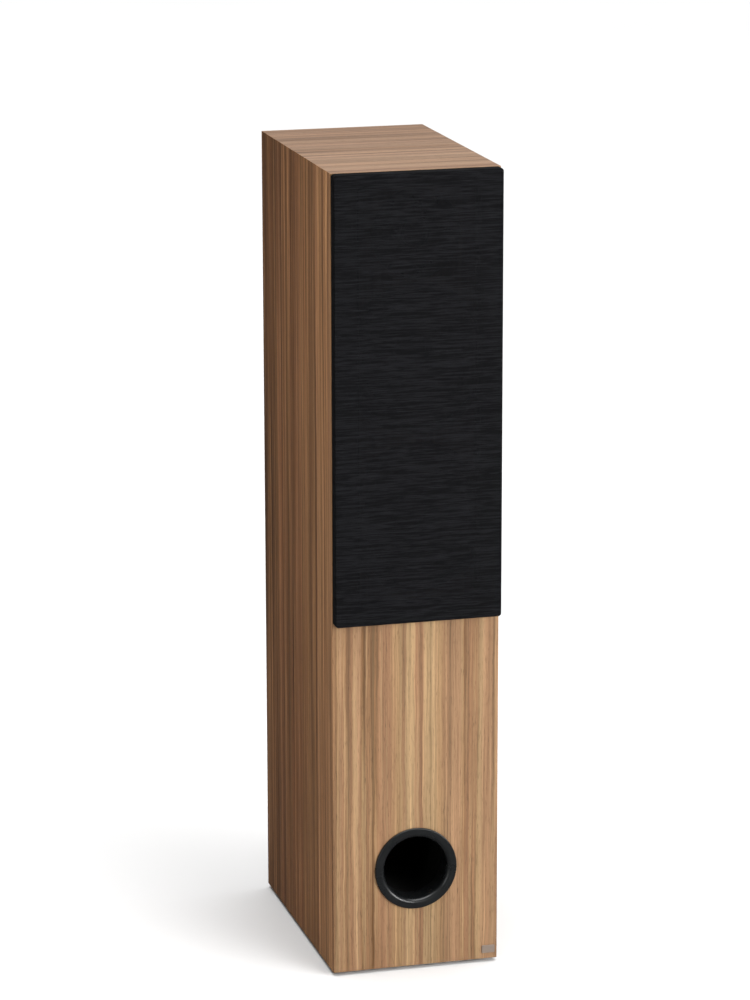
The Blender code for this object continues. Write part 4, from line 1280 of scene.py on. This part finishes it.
# ---------------------------------------------------------------- crossover and wiring
def build_crossover(copper):
    """A board with a wound inductor, a film capacitor and its traces, and the loom."""
    green = speckled("circuit_board", (0.015, 0.070, 0.028), (0.030, 0.110, 0.045), 700, 0.4, 0.00002)
    for node, look in (("crossover_board", green), ("wiring_loom", twisted_insulation())):
        for slot in frame["nodes"][node].material_slots:
            slot.material = look
    build_inductor(copper)
    build_capacitor()
    build_traces(copper)


def build_inductor(copper):
    """A coil of bare wire standing on the board."""
    low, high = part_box("bass_inductor")
    inner, outer, height, turns = 0.010, (high.x - low.x) / 2, high.z - low.z, 15
    outline = [(inner, 0)] + turns_of_wire(outer, 0, height, turns) + [(inner, height)]
    standing("bass_inductor", outline, copper)


def build_capacitor():
    """A round can lying on the board, with a ridge round each of its ends."""
    low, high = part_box("treble_capacitor")
    radius, half = (high.z - low.z) / 2, (high.x - low.x) / 2
    end = [(0, 0.001), (0.75, 0.001), (0.8, 0), (0.93, 0), (1, 0.002)]
    can = [(share * radius, depth - half) for share, depth in end]
    can += [(share * radius, half - depth) for share, depth in reversed(end)]
    film = speckled("capacitor_film", (0.50, 0.38, 0.06), (0.66, 0.53, 0.11), 500, 0.32, 0.00002)
    bm = rotated(turned_mesh(rounded(can, 0.0005), MEDIUM_ROUND), math.pi / 2, "Z")
    piece("treble_capacitor", moved(bm, (low + high) / 2), film)


def build_traces(copper):
    """Flat copper traces on the board, between the parts."""
    low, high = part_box("crossover_board")
    top, thickness, width, edge, count = high.z, 0.00008, 0.0022, 0.00003, 4
    margin_x, margin_y, step_x, step_y = 0.006, 0.010, 0.0045, 0.006
    end_x, end_step, end_y = 0.010, 0.004, 0.008
    meshes = []
    for i in range(count):
        x, y = low.x + margin_x + step_x * i, low.y + margin_y + step_y * i
        along_y = (x + width, high.y - end_y, top + thickness)
        along_x = (high.x - end_x - end_step * i, y + width, top + thickness)
        meshes.append(block_mesh((x, y, top), along_y, edge, 1))
        meshes.append(block_mesh((x + width, y, top), along_x, edge, 1))
    detail("crossover_traces", merged(meshes), copper, "cabinet", "copper_winding")


def twisted_insulation():
    """Two insulated wires twisted together, black and dark red by turns."""
    look = Look("wire_insulation", (0.015, 0.015, 0.016), 0.45)
    run = look.math("ADD", look.z, look.math("MULTIPLY", look.math("ADD", look.x, look.y), 1.5))
    twist = look.stripes(run, 0.009)
    fine = look.noise(900, 900, 900, 2.0)
    wire = look.remap(twist, 0.45, 0.55, 0, 1)
    look.set("Base Color", look.blend(wire, (0.012, 0.012, 0.013), (0.09, 0.010, 0.010)))
    look.set("Roughness", look.remap(fine, 0.3, 0.7, 0.38, 0.52))
    look.bump(twist, 0.0004)
    return look.material


# ---------------------------------------------------------------- stage, lights and camera
def set_stage():
    """A pale floor and a white backdrop that lights the scene less than it shows."""
    floor = new_object("studio_floor", floor_mesh(), [floor_look()])
    floor.visible_glossy = False
    world = bpy.data.worlds.new("studio")
    bpy.context.scene.world = world
    world.use_nodes = True
    nodes, links = world.node_tree.nodes, world.node_tree.links
    background = nodes["Background"]
    background.inputs["Color"].default_value = (1.0, 1.0, 1.0, 1.0)
    room_light, backdrop = 0.15, 0.96
    strength = nodes.new("ShaderNodeMapRange")
    strength.inputs["To Min"].default_value = room_light
    strength.inputs["To Max"].default_value = backdrop
    links.new(nodes.new("ShaderNodeLightPath").outputs["Is Camera Ray"], strength.inputs["Value"])
    links.new(strength.outputs[0], background.inputs["Strength"])
    bpy.context.scene.view_settings.view_transform = "Standard"


def floor_mesh():
    reach = 40.0
    corners = ((-1, -1), (1, -1), (1, 1), (-1, 1))
    bm = bmesh.new()
    bm.faces.new([bm.verts.new((x * reach, y * reach, 0)) for x, y in corners])
    return bm


def floor_look():
    look = Look("pale_floor", (0.62, 0.62, 0.62), 0.8)
    look.set("Specular IOR Level", 0.1)
    clouds = look.noise(1.5, 1.5, 1.5, 2.0)
    look.set("Base Color", look.blend(clouds, (0.61, 0.61, 0.61), (0.63, 0.63, 0.63)))
    return look.material


def softbox(name, place, width, height, power):
    """A rectangular light that faces the middle of the cabinet and doesn't show itself."""
    data = bpy.data.lights.new(name, "AREA")
    data.shape = "RECTANGLE"
    data.size = width
    data.size_y = height
    data.energy = power
    obj = bpy.data.objects.new(name, data)
    bpy.context.scene.collection.objects.link(obj)
    obj.location = place
    target = Vector((0, 0, (BOTTOM + TOP) / 2))
    obj.rotation_euler = (target - obj.location).to_track_quat("-Z", "Y").to_euler()
    obj.visible_camera = False
    return obj


def place_lights():
    """A soft key from the front right, a rear light that the top reflects, two strips whose
    reflections run round the port's lip, and a wide soft light from above, which also lights
    the floor. The key isn't reflected: it would bleach the top when seen from behind."""
    key = softbox("key", (1.55, -3.1, 1.65), 2.3, 2.3, 98)
    key.visible_glossy = False
    softbox("rear", (1.3, 4.7, 2.2), 2.5, 2.5, 12)
    softbox("right_strip", (2.0, -2.4, 1.0), 2.6, 0.5, 86)
    softbox("left_strip", (-2.3, -2.5, 0.55), 0.3, 1.0, 11)
    power, spread = 4.7, 60
    data = bpy.data.lights.new("overhead", "SUN")
    data.energy = power
    data.angle = math.radians(spread)
    bpy.context.scene.collection.objects.link(bpy.data.objects.new("overhead", data))


def place_camera():
    """The viewpoint: to the left of the front and a little above the cabinet."""
    yaw, pitch, roll = (math.radians(angle) for angle in CAMERA_ANGLES)
    turn = Matrix.Rotation(-yaw, 4, "Z") @ Matrix.Rotation(math.pi / 2 - pitch, 4, "X")
    data = bpy.data.cameras.new("camera")
    data.lens = CAMERA_LENS
    data.sensor_width = 36
    camera = bpy.data.objects.new("camera", data)
    bpy.context.scene.collection.objects.link(camera)
    camera.matrix_world = Matrix.Translation(CAMERA_PLACE) @ turn @ Matrix.Rotation(roll, 4, "Z")
    bpy.context.scene.camera = camera


def build():
    """Everything, from the stage to the smallest parts."""
    place_camera()
    place_lights()
    set_stage()
    board = raw_board()
    plastic = moulded("satin_black_moulding", (0.0052, 0.0058, 0.0063), 0.30, 0.00001)
    steel_paint = moulded("black_painted_steel", (0.012, 0.012, 0.013), 0.42, 0.00003, 2500)
    rubber = speckled("butyl_rubber", (0.008, 0.008, 0.009), (0.016, 0.016, 0.017), 3000, 0.6, 0.00002)
    ferrite = speckled("ferrite", (0.030, 0.030, 0.032), (0.060, 0.060, 0.063), 2200, 0.6, 0.00005)
    oxide = speckled("black_oxide", (0.07, 0.07, 0.073), (0.13, 0.13, 0.135), 4000, 0.34, 0.00001, 0.9)
    copper = enamelled_copper()

    build_cabinet(board)
    build_brace(board)
    build_wadding()
    build_badge()
    build_feet(rubber)
    build_port(plastic)
    build_grille_cloth(build_grille_frame())
    build_fixings(plastic)
    for name, axis in WOOFERS.items():
        build_woofer(name, axis, steel_paint, rubber, copper)
        build_motor(f"{name}_woofer", WOOFER_MOTOR, axis, ferrite)
        build_screws(f"{name}_woofer_screws", bolt_circle(axis, *WOOFER_BOLTS), WOOFER_SCREW, oxide)
    build_tweeter(plastic, copper)
    build_motor("tweeter", TWEETER_MOTOR, TWEETER, ferrite)
    build_screws("tweeter_screws", bolt_circle(TWEETER, *TWEETER_BOLTS), TWEETER_SCREW, oxide)
    build_terminals(plastic, oxide)
    build_crossover(copper)


build()
